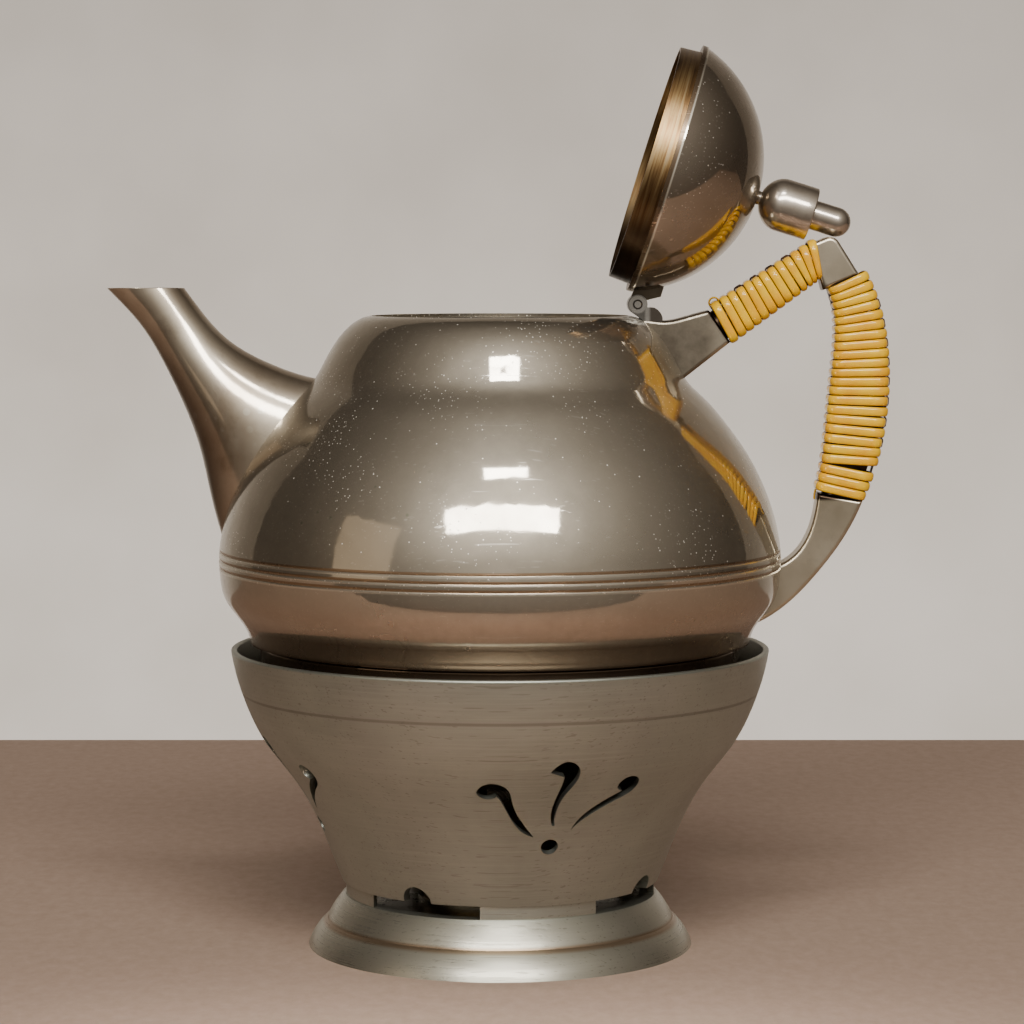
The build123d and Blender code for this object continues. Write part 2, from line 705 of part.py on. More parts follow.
def arm_frame(s):
    """Point on the arm's centre line and its outward direction, at a distance from the arm's first turn."""
    return arm_from + arm_heading * s, arm_outward


def grip_frame(s):
    """Point on the grip's centre line and its outward direction, at a distance from the grip's first turn."""
    share = min(max(s / grip_length, 0.0), 1.0)
    along = grip_line % share
    return grip_line @ share + along * (s - share * grip_length), Vector(-along.Y, along.X)


def arm_half(s):
    """Half width of the bound arm, which narrows towards the corner."""
    return arm_half_width - arm_taper * min(max(s / arm_length, 0.0), 1.0)


def grip_half(s):
    """Half width of the bound grip, which swells to its middle."""
    t = min(max(s / grip_length, 0.0), 1.0)
    return grip_end_half_width + grip_end_gain * t + grip_bulge_half_width * sin(pi * t ** grip_bulge_lift)


def in_section(point):
    """A point of the handle's flat outline, as a point in space."""
    return Vector(point.X, 0, point.Y)


core_less = cane_diameter + cane_seat
core_half_thickness = wrap_half_thickness - core_less


def core_loft(frame, half, places):
    """Draw the oval sections of a core at the given places along its centre line."""
    for s in places:
        centre, outward = frame(s)
        with BuildSketch(Plane(origin=in_section(centre), x_dir=in_section(outward),
                               z_dir=in_section(Vector(outward.Y, -outward.X)))) as section:
            Ellipse(half(s) - core_less, core_half_thickness)
        yield section.sketch


arm_core_reach = 3.0
grip_core_reach = 2.6
grip_sections = 9
with BuildPart() as arm_core:
    loft(sections=list(core_loft(arm_frame, arm_half, (-arm_core_reach, arm_length + arm_core_reach))))
with BuildPart() as grip_core:
    spread = (grip_length + 2 * grip_core_reach) / (grip_sections - 1)
    loft(sections=list(core_loft(grip_frame, grip_half,
                                 [i * spread - grip_core_reach for i in range(grip_sections)])))


def band(frame, half, first, last, steps):
    """Outline in the handle's plane of the strip under the turns, from its outer to its inner side."""
    outer, inner = [], []
    for i in range(steps + 1):
        s = first + (last - first) * i / steps
        centre, outward = frame(s)
        outer.append(centre + outward * (half(s) - core_less + 1.0))
        inner.append(centre + outward * (half(s) - core_less - strip_depth))
    return outer, inner


strip_margin = 0.6
with BuildPart() as arm_strip:
    outer, inner = band(arm_frame, arm_half, -strip_margin, arm_length, 1)
    with BuildSketch(Plane.XZ):
        with BuildLine():
            Polyline(*outer, *inner[::-1], close=True)
        make_face()
    extrude(amount=strip_width / 2, both=True)
    add(arm_core.part, mode=Mode.INTERSECT)
arm_strip.part.label = "arm_strip"
export_step(arm_strip.part, "parts/arm_strip.step")

with BuildPart() as grip_strip:
    outer, inner = band(grip_frame, grip_half, 0.2, grip_length - 0.2, 8)
    with BuildSketch(Plane.XZ):
        with BuildLine():
            Spline(*outer)
            Line(outer[-1], inner[-1])
            Spline(*inner[::-1])
            Line(inner[0], outer[0])
        make_face()
    extrude(amount=strip_width / 2, both=True)
    add(grip_core.part, mode=Mode.INTERSECT)
grip_strip.part.label = "grip_strip"
export_step(grip_strip.part, "parts/grip_strip.step")

# Handle: bare root, corner and lower arm, joined by the oval cores that the cane covers
root_bottom_start = arm_from - arm_outward * (arm_half_width - 0.9) - arm_heading * 1.9
root_top_end = arm_from + arm_outward * (arm_half_width - 1.3) - arm_heading * 1.9
lower_top = belly_z + 17.6
with BuildPart() as handle:
    with BuildSketch(Plane.XZ):
        with BuildLine():
            Spline((mouth_radius - 1.0, mouth_z - 1.6), (mouth_radius + 5.1, mouth_z - 0.9),
                   (mouth_radius + 10.0, mouth_z - 1.4), (mouth_radius + 15.5, mouth_z - 0.4), root_top_end)
            Polyline(root_top_end, root_bottom_start, (mouth_radius + 15.7, mouth_z - 17.6),
                     (mouth_radius + 6.0, mouth_z - 25.0), (mouth_radius - 1.0, mouth_z - 20.0),
                     (mouth_radius - 1.0, mouth_z - 1.6))
        make_face()
        with BuildLine():
            Line(corner_arm_top, corner_left)
            ThreePointArc(corner_left, apex, corner_right)
            Polyline(corner_right, corner_grip_outer, corner_inside, corner_arm_top)
        make_face()
        with BuildLine():
            Spline((belly_radius + 10.2, lower_top + 1.0), (belly_radius + 9.2, belly_z + 12.0),
                   (belly_radius + 5.6, belly_z + 3.3), (belly_radius - 0.6, belly_z - 1.8))
            Polyline((belly_radius - 0.6, belly_z - 1.8), (belly_radius - 9.0, belly_z - 8.0),
                     (belly_radius - 12.0, belly_z - 19.0), (belly_radius - 7.4, belly_z - 18.8))
            Spline((belly_radius - 7.4, belly_z - 18.8), (belly_radius + 1.1, belly_z - 13.5),
                   (belly_radius + 9.8, belly_z - 4.7), (belly_radius + 17.5, belly_z + 5.6),
                   (belly_radius + 23.0, lower_top - 1.2))
            Line((belly_radius + 23.0, lower_top - 1.2), (belly_radius + 10.2, lower_top + 1.0))
        make_face()
    extrude(amount=handle_width / 2, both=True)
    fillet(handle.faces().filter_by(Axis.Y).edges(), handle_edge)
    add(arm_core.part)
    add(grip_core.part)
    add(arm_strip.part, mode=Mode.SUBTRACT)
    add(grip_strip.part, mode=Mode.SUBTRACT)
    add(pot_form.part, mode=Mode.SUBTRACT)
handle.part.label = "handle"
export_step(handle.part, "parts/handle.step")

# Hinge base on the arm's root and the shoulder, with the two outer knuckles
pad_top = hinge_z - 0.9
pad_start = hinge_x + 4.2
pad_end = hinge_x + base_pad_length + 1.2
outer_knuckle = (hinge_width - middle_knuckle) / 2 - knuckle_gap
with BuildPart() as hinge_base:
    with BuildSketch(Plane.XZ):
        with Locations((hinge_x, hinge_z)):
            Circle(knuckle_radius)
        with BuildLine():
            Polyline((hinge_x - 1.4, hinge_z - 2.42), (hinge_x + 1.4, mouth_z - 1.2), (hinge_x + 1.4, mouth_z - 5.0),
                     (pad_start + 0.5, mouth_z - 5.0), (pad_start + 0.5, pad_top), (hinge_x + 2.6, pad_top),
                     (hinge_x, hinge_z), close=True)
        make_face()
        with Locations((hinge_x, hinge_z)):
            Circle(pin_radius, mode=Mode.SUBTRACT)
    extrude(amount=hinge_width / 2, both=True)
    with BuildSketch(Plane.XZ):
        with Locations((hinge_x, hinge_z)):
            Rectangle(2 * (pad_start - hinge_x), 14.0)
    extrude(amount=middle_knuckle / 2 + knuckle_gap, both=True, mode=Mode.SUBTRACT)
    with BuildSketch(Plane.XZ):
        with BuildLine():
            Polyline((pad_start, mouth_z - 5.0), (pad_start, pad_top), (hinge_x + base_pad_length - 1.2, pad_top))
            RadiusArc((hinge_x + base_pad_length - 1.2, pad_top), (pad_end, mouth_z - 1.0), 4.0)
            Polyline((pad_end, mouth_z - 1.0), (pad_end - 1.2, mouth_z - 5.0), (pad_start, mouth_z - 5.0))
        make_face()
    extrude(amount=hinge_width / 2, both=True)
    add(pot_form.part, mode=Mode.SUBTRACT)
    add(handle.part, mode=Mode.SUBTRACT)
hinge_base.part.label = "hinge_base"
export_step(hinge_base.part, "parts/hinge_base.step")

# Hinge pin, pressed into the outer knuckles
pin_length = hinge_width + 2 * pin_overhang
with BuildPart() as hinge_pin:
    with BuildSketch(Plane(origin=(hinge_x, pin_length / 2, hinge_z), z_dir=(0, -1, 0))):
        Circle(pin_radius)
    extrude(amount=pin_length)
    chamfer(hinge_pin.edges().filter_by(GeomType.CIRCLE), 0.2)
hinge_pin.part.label = "hinge_pin"
export_step(hinge_pin.part, "parts/hinge_pin.step")


def cane_run(frame, half, turns, pitch, lean_at_end):
    """Points and headings of a winding, four to a turn. It starts on the inner side and passes the front first."""
    points, headings = [], []
    reach = cane_diameter / 2

    def place(u):
        s = (u - 0.25) * pitch
        angle = pi + 2 * pi * u
        across = (half(s) - reach) * cos(angle)
        centre, outward = frame(s + lean_at_end * across * u / turns)
        spot = in_section(centre + outward * across)
        return spot + Vector(0, (wrap_half_thickness - reach) * sin(angle), 0)

    for quarter in range(int(turns * 4) + 1):
        u = quarter / 4
        points.append(place(u))
        headings.append((place(u + 0.002) - place(u - 0.002)).normalized())
    return points, headings


def biarc_joint(p, t, q, u):
    """Where two tangent arcs from p heading t to q heading u meet, and the heading there."""
    apart = q - p
    both = t + u
    bend = 2 * (1 - t.dot(u))
    reach = (-apart.dot(both) + sqrt(apart.dot(both) ** 2 + bend * apart.dot(apart))) / bend
    first, second = p + t * reach, q - u * reach
    return (first + second) * 0.5, (second - first).normalized()


def least_gap(path, turns):
    """Least gap between a winding and itself, from points along its centre line."""
    samples = [path @ (i / (turns * 40)) for i in range(int(turns * 40) + 1)]
    nearest = min((samples[i] - samples[j]).length
                  for i in range(len(samples)) for j in range(i + 25, min(i + 56, len(samples))))
    return nearest - cane_diameter


# Cane binding of the arm and of the grip, each one unbroken length
for name, frame, half, turns, pitch, lean_at_end in (
        ("arm_wrap", arm_frame, arm_half, arm_turns, arm_pitch, 0.28),
        ("grip_wrap", grip_frame, grip_half, grip_turns, grip_pitch, 0.0)):
    points, headings = cane_run(frame, half, turns, pitch, lean_at_end)
    with BuildPart() as wrap:
        with BuildLine() as cane_path:
            Line(points[0] - headings[0] * cane_diameter, points[0])
            for p, t, q, u in zip(points, headings, points[1:], headings[1:]):
                joint, heading = biarc_joint(p, t, q, u)
                TangentArc(p, joint, tangent=t)
                TangentArc(joint, q, tangent=heading)
            Line(points[-1], points[-1] + headings[-1] * cane_diameter)
        cane_route = cane_path.wires()[0]
        with BuildSketch(Plane(origin=cane_route @ 0, z_dir=cane_route % 0)):
            RegularPolygon(cane_diameter / 2, 6)
        sweep(path=cane_route, clean=False)
    print(name, "least gap to itself", round(least_gap(cane_route, turns), 2), "mm")
    wrap.part.label = name
    export_step(wrap.part, f"parts/{name}.step")

print("overall height", round(rim_z, 1), "to", round(lid_z, 1), "apex", round(apex.X, 1), round(apex.Y, 1))
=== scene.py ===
# %% [markdown]
# Teapot with warmer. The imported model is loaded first: it fixes every size and every moving part.
# The spun metal keeps its shape and gets its finishes, and the handle gets its real winding of
# flat cane, which a plain model can only hint at.

# %% Load the fixed frame
from math import cos, pi, radians, sin

import bpy
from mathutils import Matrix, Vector


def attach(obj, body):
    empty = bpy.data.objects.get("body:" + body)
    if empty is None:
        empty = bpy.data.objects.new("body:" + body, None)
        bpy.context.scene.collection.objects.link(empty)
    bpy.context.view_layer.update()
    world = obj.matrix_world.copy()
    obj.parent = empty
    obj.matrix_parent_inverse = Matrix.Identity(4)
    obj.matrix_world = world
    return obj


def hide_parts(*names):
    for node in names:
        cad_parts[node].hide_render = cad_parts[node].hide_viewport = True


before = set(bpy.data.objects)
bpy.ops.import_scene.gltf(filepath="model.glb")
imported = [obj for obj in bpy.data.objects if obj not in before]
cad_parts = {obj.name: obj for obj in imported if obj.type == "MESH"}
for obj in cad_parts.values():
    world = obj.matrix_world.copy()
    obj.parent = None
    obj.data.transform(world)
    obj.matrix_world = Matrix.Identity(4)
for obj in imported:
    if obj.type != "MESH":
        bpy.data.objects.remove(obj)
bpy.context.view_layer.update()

# %% [markdown]
# The camera stands where the photographer's did: almost level with the spout's tip, about a metre
# away, looking slightly down. A long lens keeps the pot's outline free of distortion.

# %% Camera
CAMERA_PLACE, LOOKS_DOWN = (0.0034, -0.9269, 0.1968), radians(4.5)
FILM_WIDTH, FOCAL_LENGTH = 36.0, 114.6
bpy.ops.object.select_all(action="DESELECT")
bpy.ops.object.camera_add(location=CAMERA_PLACE, rotation=(radians(90) - LOOKS_DOWN, 0, 0))
camera = bpy.context.object
camera.data.sensor_width = FILM_WIDTH
camera.data.lens = FOCAL_LENGTH
bpy.context.scene.camera = camera
print("camera", camera.data.lens, "mm lens")

# %% [markdown]
# A studio for polished metal is mostly made of what the metal mirrors. A wide soft box hangs high
# in front and draws the broad highlight on the belly, a small one above it draws the second, and a
# dim warm one at the left draws the patch there. A long one behind the table lights the wall. A
# narrow beam lights the table before the foot, which the warmer mirrors, and is itself kept out of
# the metal. The table top and the wall are plain. Each light is given by its place, what it faces,
# its width and height, its watts and its colour.

# %% Table, wall and lights
TABLE_MIDDLE, TABLE_SIZE = (0, 0.055, 0), (3.4, 0.67, 1)
WALL_MIDDLE, WALL_SIZE = (0, 2.4, 0.6), (9, 5, 1)
bpy.ops.mesh.primitive_plane_add(size=1, location=TABLE_MIDDLE)
table = bpy.context.object
table.name = "table_top"
table.scale = TABLE_SIZE
bpy.ops.mesh.primitive_plane_add(size=1, location=WALL_MIDDLE, rotation=(radians(90), 0, 0))
wall = bpy.context.object
wall.name = "wall"
wall.scale = WALL_SIZE
bpy.ops.object.select_all(action="DESELECT")
for stage_piece in (table, wall):
    stage_piece.select_set(True)
bpy.context.view_layer.objects.active = table
bpy.ops.object.transform_apply(location=True, rotation=True, scale=True)


def soft_box(name, place, aim, width, height, watts, colour):
    """A rectangular light of the given size that faces a point."""
    bpy.ops.object.light_add(type="AREA", location=place)
    lamp = bpy.context.object
    lamp.name = name
    lamp.rotation_euler = (Vector(aim) - Vector(place)).to_track_quat("-Z", "Y").to_euler()
    lamp.data.shape = "RECTANGLE"
    lamp.data.size, lamp.data.size_y = width, height
    lamp.data.energy = watts
    lamp.data.color = colour
    return lamp


POT_MIDDLE, WALL_FOOT, BEFORE_FOOT = (0, 0, 0.13), (0, 2.4, 0.15), (0, -0.18, 0)
WARM_WHITE, WHITE, BEIGE = (1.0, 0.97, 0.92), (1.0, 0.98, 0.95), (1.0, 0.80, 0.58)
soft_box("window_light", (0.03, -1.30, 1.02), POT_MIDDLE, 1.22, 0.32, 24, WARM_WHITE)
soft_box("upper_light", (0.05, -0.74, 1.20), POT_MIDDLE, 0.34, 0.12, 3.2, WHITE)
soft_box("beige_light", (-1.36, -0.90, 0.48), POT_MIDDLE, 0.74, 0.94, 1.1, BEIGE)
soft_box("wall_light", (0, 1.25, -0.5), WALL_FOOT, 3.2, 0.5, 32, (1.0, 0.97, 0.93))
beam = soft_box("table_light", (0.0, -0.30, 1.05), BEFORE_FOOT, 0.22, 0.10, 0.17, WHITE)
beam.data.spread = radians(14)
beam.visible_glossy = False
print("lights placed")

# %% [markdown]
# Every finish is a small network of nodes. So that a pattern reads like arithmetic, a socket is
# wrapped in a class whose + - * / and ** add the Math nodes.

# %% Shader arithmetic


class Value:
    """A number that varies over a surface. Arithmetic on it adds Math nodes."""

    def __init__(self, finish, socket):
        self.finish, self.socket = finish, socket

    def maths(self, operation, *terms):
        return self.finish.add("ShaderNodeMath", {"operation": operation}, dict(enumerate(terms)))

    def __add__(self, other):
        return self.maths("ADD", self, other)

    def __sub__(self, other):
        return self.maths("SUBTRACT", self, other)

    def __rsub__(self, other):
        return self.maths("SUBTRACT", other, self)

    def __mul__(self, other):
        return self.maths("MULTIPLY", self, other)

    def __truediv__(self, other):
        return self.maths("DIVIDE", self, other)

    def __pow__(self, other):
        return self.maths("POWER", self, other)

    __radd__ = __add__
    __rmul__ = __mul__


print("arithmetic ready")

# %% [markdown]
# A second class is the material itself. One method adds every kind of node, and the others are
# the patterns that the finishes share: clouds, spots, scratches, masks and mixes of colours. All
# of them are laid out by the place on the object, so they stay with a piece when it moves.

# %% A finish and its patterns


class Finish:
    """A material built from nodes, for one finish of the object."""

    def __init__(self, name, metallic=0.0, roughness=0.5):
        self.material = bpy.data.materials.new(name)
        self.material.use_nodes = True
        self.tree = self.material.node_tree
        self.shader = self.tree.nodes["Principled BSDF"]
        self.shader.inputs["Metallic"].default_value = metallic
        self.shader.inputs["Roughness"].default_value = roughness

    def add(self, kind, settings=None, inputs=None, output=0):
        """Adds a node: its settings first, then the values or links of its sockets."""
        node = self.tree.nodes.new(kind)
        for key, setting in (settings or {}).items():
            if key == "stops":
                while len(node.color_ramp.elements) < len(setting):
                    node.color_ramp.elements.new(1.0)
                for element, (place, colour) in zip(node.color_ramp.elements, setting):
                    element.position = place
                    element.color = (*colour, 1)
            else:
                setattr(node, key, setting)
        for key, given in (inputs or {}).items():
            self.join(given, node.inputs[key])
        return Value(self, node.outputs[output])

    def join(self, given, socket):
        if isinstance(given, Value):
            self.tree.links.new(given.socket, socket)
        elif isinstance(given, tuple) and len(given) == 3 and socket.type == "RGBA":
            socket.default_value = (*given, 1)
        else:
            socket.default_value = given

    def feed(self, socket, given):
        """Links a value to a socket of the shader itself."""
        self.join(given, self.shader.inputs[socket])

    def places(self, scale=(1, 1, 1), turn=(0, 0, 0)):
        """The place on the object, in metres, stretched or turned."""
        here = self.add("ShaderNodeTexCoord", output="Object")
        return self.add("ShaderNodeMapping", {}, {"Vector": here, "Scale": scale, "Rotation": turn})

    def noise(self, where, scale, detail=3.0, roughness=0.5, warp=0.0):
        """Soft clouds. A larger scale makes them smaller, and detail adds finer ones."""
        return self.add("ShaderNodeTexNoise", {},
                        {"Vector": where, "Scale": scale, "Detail": detail,
                         "Roughness": roughness, "Distortion": warp})

    def cells(self, where, scale):
        """How far the nearest of many scattered points is. Small values are round spots."""
        return self.add("ShaderNodeTexVoronoi", {}, {"Vector": where, "Scale": scale}, "Distance")

    def between(self, value, low, high, to_low=0.0, to_high=1.0):
        """The value rescaled from one range to another, and held inside it."""
        return self.add("ShaderNodeMapRange", {"clamp": True},
                        {"Value": value, "From Min": low, "From Max": high,
                         "To Min": to_low, "To Max": to_high})

    def mix(self, amount, first, second):
        """Two colours mixed by an amount."""
        return self.add("ShaderNodeMix", {"data_type": "RGBA"}, {0: amount, 6: first, 7: second}, 2)

    def ramp(self, value, *stops):
        return self.add("ShaderNodeValToRGB", {"stops": stops}, {"Fac": value})

    def split(self, vector, part):
        return self.add("ShaderNodeSeparateXYZ", {}, {0: vector}, part)

    def veil(self, amount, roughness, colour, metallic=1.0):
        """Mixes in a duller layer of the same metal, which makes the glow round a highlight."""
        dull = self.tree.nodes.new("ShaderNodeBsdfPrincipled")
        self.join(metallic, dull.inputs["Metallic"])
        self.join(roughness, dull.inputs["Roughness"])
        self.join(colour, dull.inputs["Base Color"])
        blend = self.tree.nodes.new("ShaderNodeMixShader")
        self.join(amount, blend.inputs[0])
        surface = self.tree.nodes["Material Output"].inputs["Surface"]
        self.tree.links.new(self.shader.outputs[0], blend.inputs[1])
        self.tree.links.new(dull.outputs[0], blend.inputs[2])
        self.tree.links.new(blend.outputs[0], surface)

    def scratches(self, *ways):
        """Fine straight scratches. A way is how a stretched noise is turned, its scale and the
        height above which its peaks are kept."""
        found = None
        for turn, scale, peak in ways:
            drawn = self.noise(self.places((1, 110, 110), turn), scale, 1.0, 0.5)
            one_way = self.between(drawn, peak, peak + 0.04)
            found = one_way if found is None else found.maths("MAXIMUM", found, one_way)
        return found

    def relief(self, height, strength, distance):
        bump = self.add("ShaderNodeBump", {},
                        {"Strength": strength, "Distance": distance, "Height": height})
        self.feed("Normal", bump)


def dress(finish, *names):
    """Gives a finish to CAD nodes by name."""
    for name in names:
        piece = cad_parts[name]
        piece.data.materials.clear()
        piece.data.materials.append(finish.material)


print("patterns ready")

# %% [markdown]
# The nickel of pot and lid is polished, so it is a mirror, but an old one: a film of fine wear lies
# over it. Two layers show that best. One is almost a mirror, the other is duller and spreads each
# highlight into a glow. Pinprick pits catch the light, and a few spots have turned green.

# %% Polished nickel
SPECKS_BELOW, SPECKS_ABOVE = 0.107, 0.116
GREENISH, BRIGHT_SPECK, BRIGHT_SCRATCH = (0.30, 0.33, 0.24), (0.86, 0.82, 0.74), (0.80, 0.76, 0.68)


def polished_nickel(name, colour, deep, haze, pits, stains_and_painted_light):
    """Old polished nickel. haze is how much of the duller layer shows, pits how many specks
    there are, and stains a function that adds the piece's own marks and painted light."""
    metal = Finish(name, metallic=1.0)
    here = metal.places()
    cloud = metal.noise(here, 14.0, 4.0, 0.55, 0.4)
    mottle = metal.noise(here, 120.0, 4.0, 0.6)
    patch = metal.noise(here, 38.0, 3.0, 0.6)
    dull = metal.between(cloud * 0.7 + mottle * 0.3, 0.42, 0.62)
    fine = (metal.between(metal.cells(here, 820.0), 0.17, 0.10)
            * metal.between(patch, 0.52 - pits, 0.64 - pits))
    speck = (metal.between(metal.cells(here, 390.0), 0.095, 0.055)
             * metal.between(mottle, 0.50 - pits, 0.58 - pits))
    green = metal.between(metal.cells(here, 170.0), 0.10, 0.05) * metal.between(cloud, 0.54, 0.60)
    scratch = metal.scratches(((0.4, 0.2, 0.9), 12.0, 0.71), ((1.1, 0.7, 2.3), 15.0, 0.71))
    clean_below = metal.between(metal.split(here, 2), SPECKS_BELOW, SPECKS_ABOVE, 0.15, 1.0)
    spot = speck.maths("MAXIMUM", speck, fine * 0.8) * clean_below
    tone = metal.mix(dull, colour, deep)
    tone = metal.mix(green * 0.7, tone, GREENISH)
    tone = metal.mix(spot, tone, BRIGHT_SPECK)
    tone = metal.mix(scratch * 0.35, tone, BRIGHT_SCRATCH)
    rough = metal.between(dull, 0, 1, 0.045, 0.085) + spot * 0.4 + scratch * 0.10
    # The piece's own stains and painted light.
    tone, rough = stains_and_painted_light(metal, here, tone, rough)
    worn = 1.0 - spot * 0.60
    metal.feed("Base Color", tone)
    metal.feed("Roughness", rough)
    metal.feed("Metallic", worn)
    hazy = metal.between(dull * 0.75 + mottle * 0.25, 0.1, 0.9, haze * 0.7, haze * 1.25)
    metal.veil(hazy, 0.46, tone, worn)
    metal.relief(metal.noise(here, 22.0, 2.0) + mottle * 0.03 - spot * 0.05, 0.10, 0.0006)
    return metal


print("polished nickel ready")

# %% [markdown]
# The pot has three turned grooves at its belly. Their upper flanks hold tea stain and their lower
# flanks get a painted highlight. Below them the belly turns browner, and the waist that sits in
# the warmer gets painted shade.

# %% Stains and painted light of the pot
GROOVES_AT, GROOVE_PITCH, GROOVE_HALF = 0.1110, 0.00225, 0.0009
BROWN_FROM, BROWN_TO, WAIST_FROM, WAIST_TO = 0.1080, 0.1000, 0.0965, 0.0925
BROWN_BELLY, PAINTED_WAIST_SHADE = (0.36, 0.265, 0.20), (0.17, 0.11, 0.07)
TEA_STAIN, PAINTED_FLANK_HIGHLIGHT = (0.26, 0.14, 0.06), (0.86, 0.80, 0.68)


def pot_stains_and_painted_light(metal, here, tone, rough):
    height = metal.split(here, 2)
    level = (height - GROOVES_AT) / GROOVE_PITCH
    inside = metal.between(level.maths("ABSOLUTE", level), 1.5, 1.48)
    phase = (level + 0.5).maths("FRACT", level + 0.5) - 0.5
    share = GROOVE_HALF / GROOVE_PITCH
    upper, lower = (metal.between(phase, side * 0.02, side * 0.06)
                    * metal.between(phase, side * share, side * share * 0.8) * inside
                    for side in (1, -1))
    tone = metal.mix(metal.between(height, BROWN_FROM, BROWN_TO) * 0.5, tone, BROWN_BELLY)
    # Painted shade on the waist that sits in the warmer.
    tone = metal.mix(metal.between(height, WAIST_FROM, WAIST_TO) * 0.75, tone, PAINTED_WAIST_SHADE)
    tone = metal.mix(upper * 0.75, tone, TEA_STAIN)
    # Painted highlight on the lower flanks of the grooves.
    tone = metal.mix(lower * 0.6, tone, PAINTED_FLANK_HIGHLIGHT)
    return tone, rough + upper * 0.22 + lower * 0.18


pot_nickel = polished_nickel("pot_nickel", (0.58, 0.53, 0.44), (0.48, 0.43, 0.35), 0.36, 0.05,
                             pot_stains_and_painted_light)
dress(pot_nickel, "pot_body", "pot_floor", "base_ring", "mouth_ring")
print("pot polished")

# %% [markdown]
# The lid stands open and tilted, so its finish is measured along its own axis. Its flat lip is
# darker brown, and the edge where the dome starts gets a painted highlight.

# %% Tint and painted highlight of the lid
LID_MIDDLE, LID_AXIS = Vector((0.04655, 0, 0.22136)), Vector((0.9548, 0, -0.2974))
RIDGE_AT = 0.0015
BROWN_LIP, PAINTED_RIDGE_HIGHLIGHT = (0.17, 0.115, 0.07), (0.95, 0.90, 0.78)


def along_lid(finish, where):
    """How far a place is from the open lid's lip, along the lid's axis."""
    across, height = finish.split(where, 0), finish.split(where, 2)
    return (across - LID_MIDDLE.x) * LID_AXIS.x + (height - LID_MIDDLE.z) * LID_AXIS.z


def lid_tint_and_painted_highlight(metal, here, tone, rough):
    above_lip = along_lid(metal, here)
    lip = metal.between(above_lip, 0.0014, 0.0010) * metal.between(above_lip, -0.0030, -0.0020)
    from_ridge = (above_lip - RIDGE_AT).maths("ABSOLUTE", above_lip - RIDGE_AT)
    tone = metal.mix(lip * 0.9, tone, BROWN_LIP)
    # Painted highlight along the edge where the dome starts.
    tone = metal.mix(metal.between(from_ridge, 0.0004, 0.0001) * 0.8, tone, PAINTED_RIDGE_HIGHLIGHT)
    return tone, rough + lip * 0.2


dome_nickel = polished_nickel("dome_nickel", (0.46, 0.40, 0.33), (0.34, 0.29, 0.23), 0.30, 0.0,
                              lid_tint_and_painted_highlight)
dress(dome_nickel, "lid_dome", "lid_bead")
print("lid polished")

# %% [markdown]
# Spout, handle, knob and hinge were polished less or are worn by hands: the same metal, satin,
# with fine streaks that run along the piece. One function makes them all, and each piece adds
# its own marks, some of them painted shade.

# %% Satin nickel
BRIGHT_STREAK = (0.80, 0.77, 0.70)


def satin_nickel(name, colour, dark, roughness, streak_scale, grain=0.5, stains_and_painted_light=None, glow=0.0):
    """Worn satin metal. streak_scale is small along the streaks and large across, grain is their
    share in the roughness, and glow is how much of a duller layer shows."""
    metal = Finish(name, metallic=1.0)
    here = metal.places()
    cloud = metal.noise(here, 35.0, 4.0, 0.6)
    streak = metal.noise(metal.places(streak_scale), 60.0, 5.0, 0.7)
    stain = metal.between(metal.noise(here, 110.0, 5.0, 0.7), 0.52, 0.75)
    tone = metal.mix(metal.between(cloud, 0.35, 0.65), dark, colour)
    tone = metal.mix(stain * 0.5, tone, (dark[0] * 0.55, dark[1] * 0.52, dark[2] * 0.48))
    tone = metal.mix(metal.between(streak, 0.55, 0.8) * 0.35, tone, BRIGHT_STREAK)
    if stains_and_painted_light:
        # The piece's own stains and painted shade.
        tone = stains_and_painted_light(metal, here, tone)
    metal.feed("Base Color", tone)
    worn = metal.between(cloud * (1 - grain) + streak * grain, 0.3, 0.7,
                         roughness * 0.8, roughness * 1.25)
    metal.feed("Roughness", worn + stain * 0.08)
    if glow:
        metal.veil(glow, 0.42, tone)
    metal.relief(streak * 0.6 + cloud * 0.5, 0.12, 0.0003)
    return metal


knob_nickel = satin_nickel("knob_nickel", (0.64, 0.58, 0.50), (0.46, 0.40, 0.33), 0.15,
                           (0.4, 3, 3), glow=0.35)
leaf_nickel = satin_nickel("leaf_nickel", (0.20, 0.17, 0.13), (0.09, 0.075, 0.06), 0.36, (1, 4, 1))
dress(knob_nickel, "knob_stub")
dress(leaf_nickel, "lid_hinge_leaf")
print("knob and hinge leaf finished")

# %% [markdown]
# The handle is darker at its root, where it is stained. Painted shade makes it nearly black on the
# oval cores that the cane is wound on, so that the gaps between the turns read as gaps. Places
# along the arm are measured from where its binding starts.

# %% Satin finish of the handle
MM = 0.001
ARM_START, ARM_END = Vector((63.6, 178.1)), Vector((87.7, 194.6))
ARM_ALONG = (ARM_END - ARM_START).normalized()
ARM_OUT = Vector((-ARM_ALONG.y, ARM_ALONG.x))
STAINED_ROOT, PAINTED_SHADE_UNDER_CANE = (0.13, 0.11, 0.085), (0.045, 0.030, 0.020)


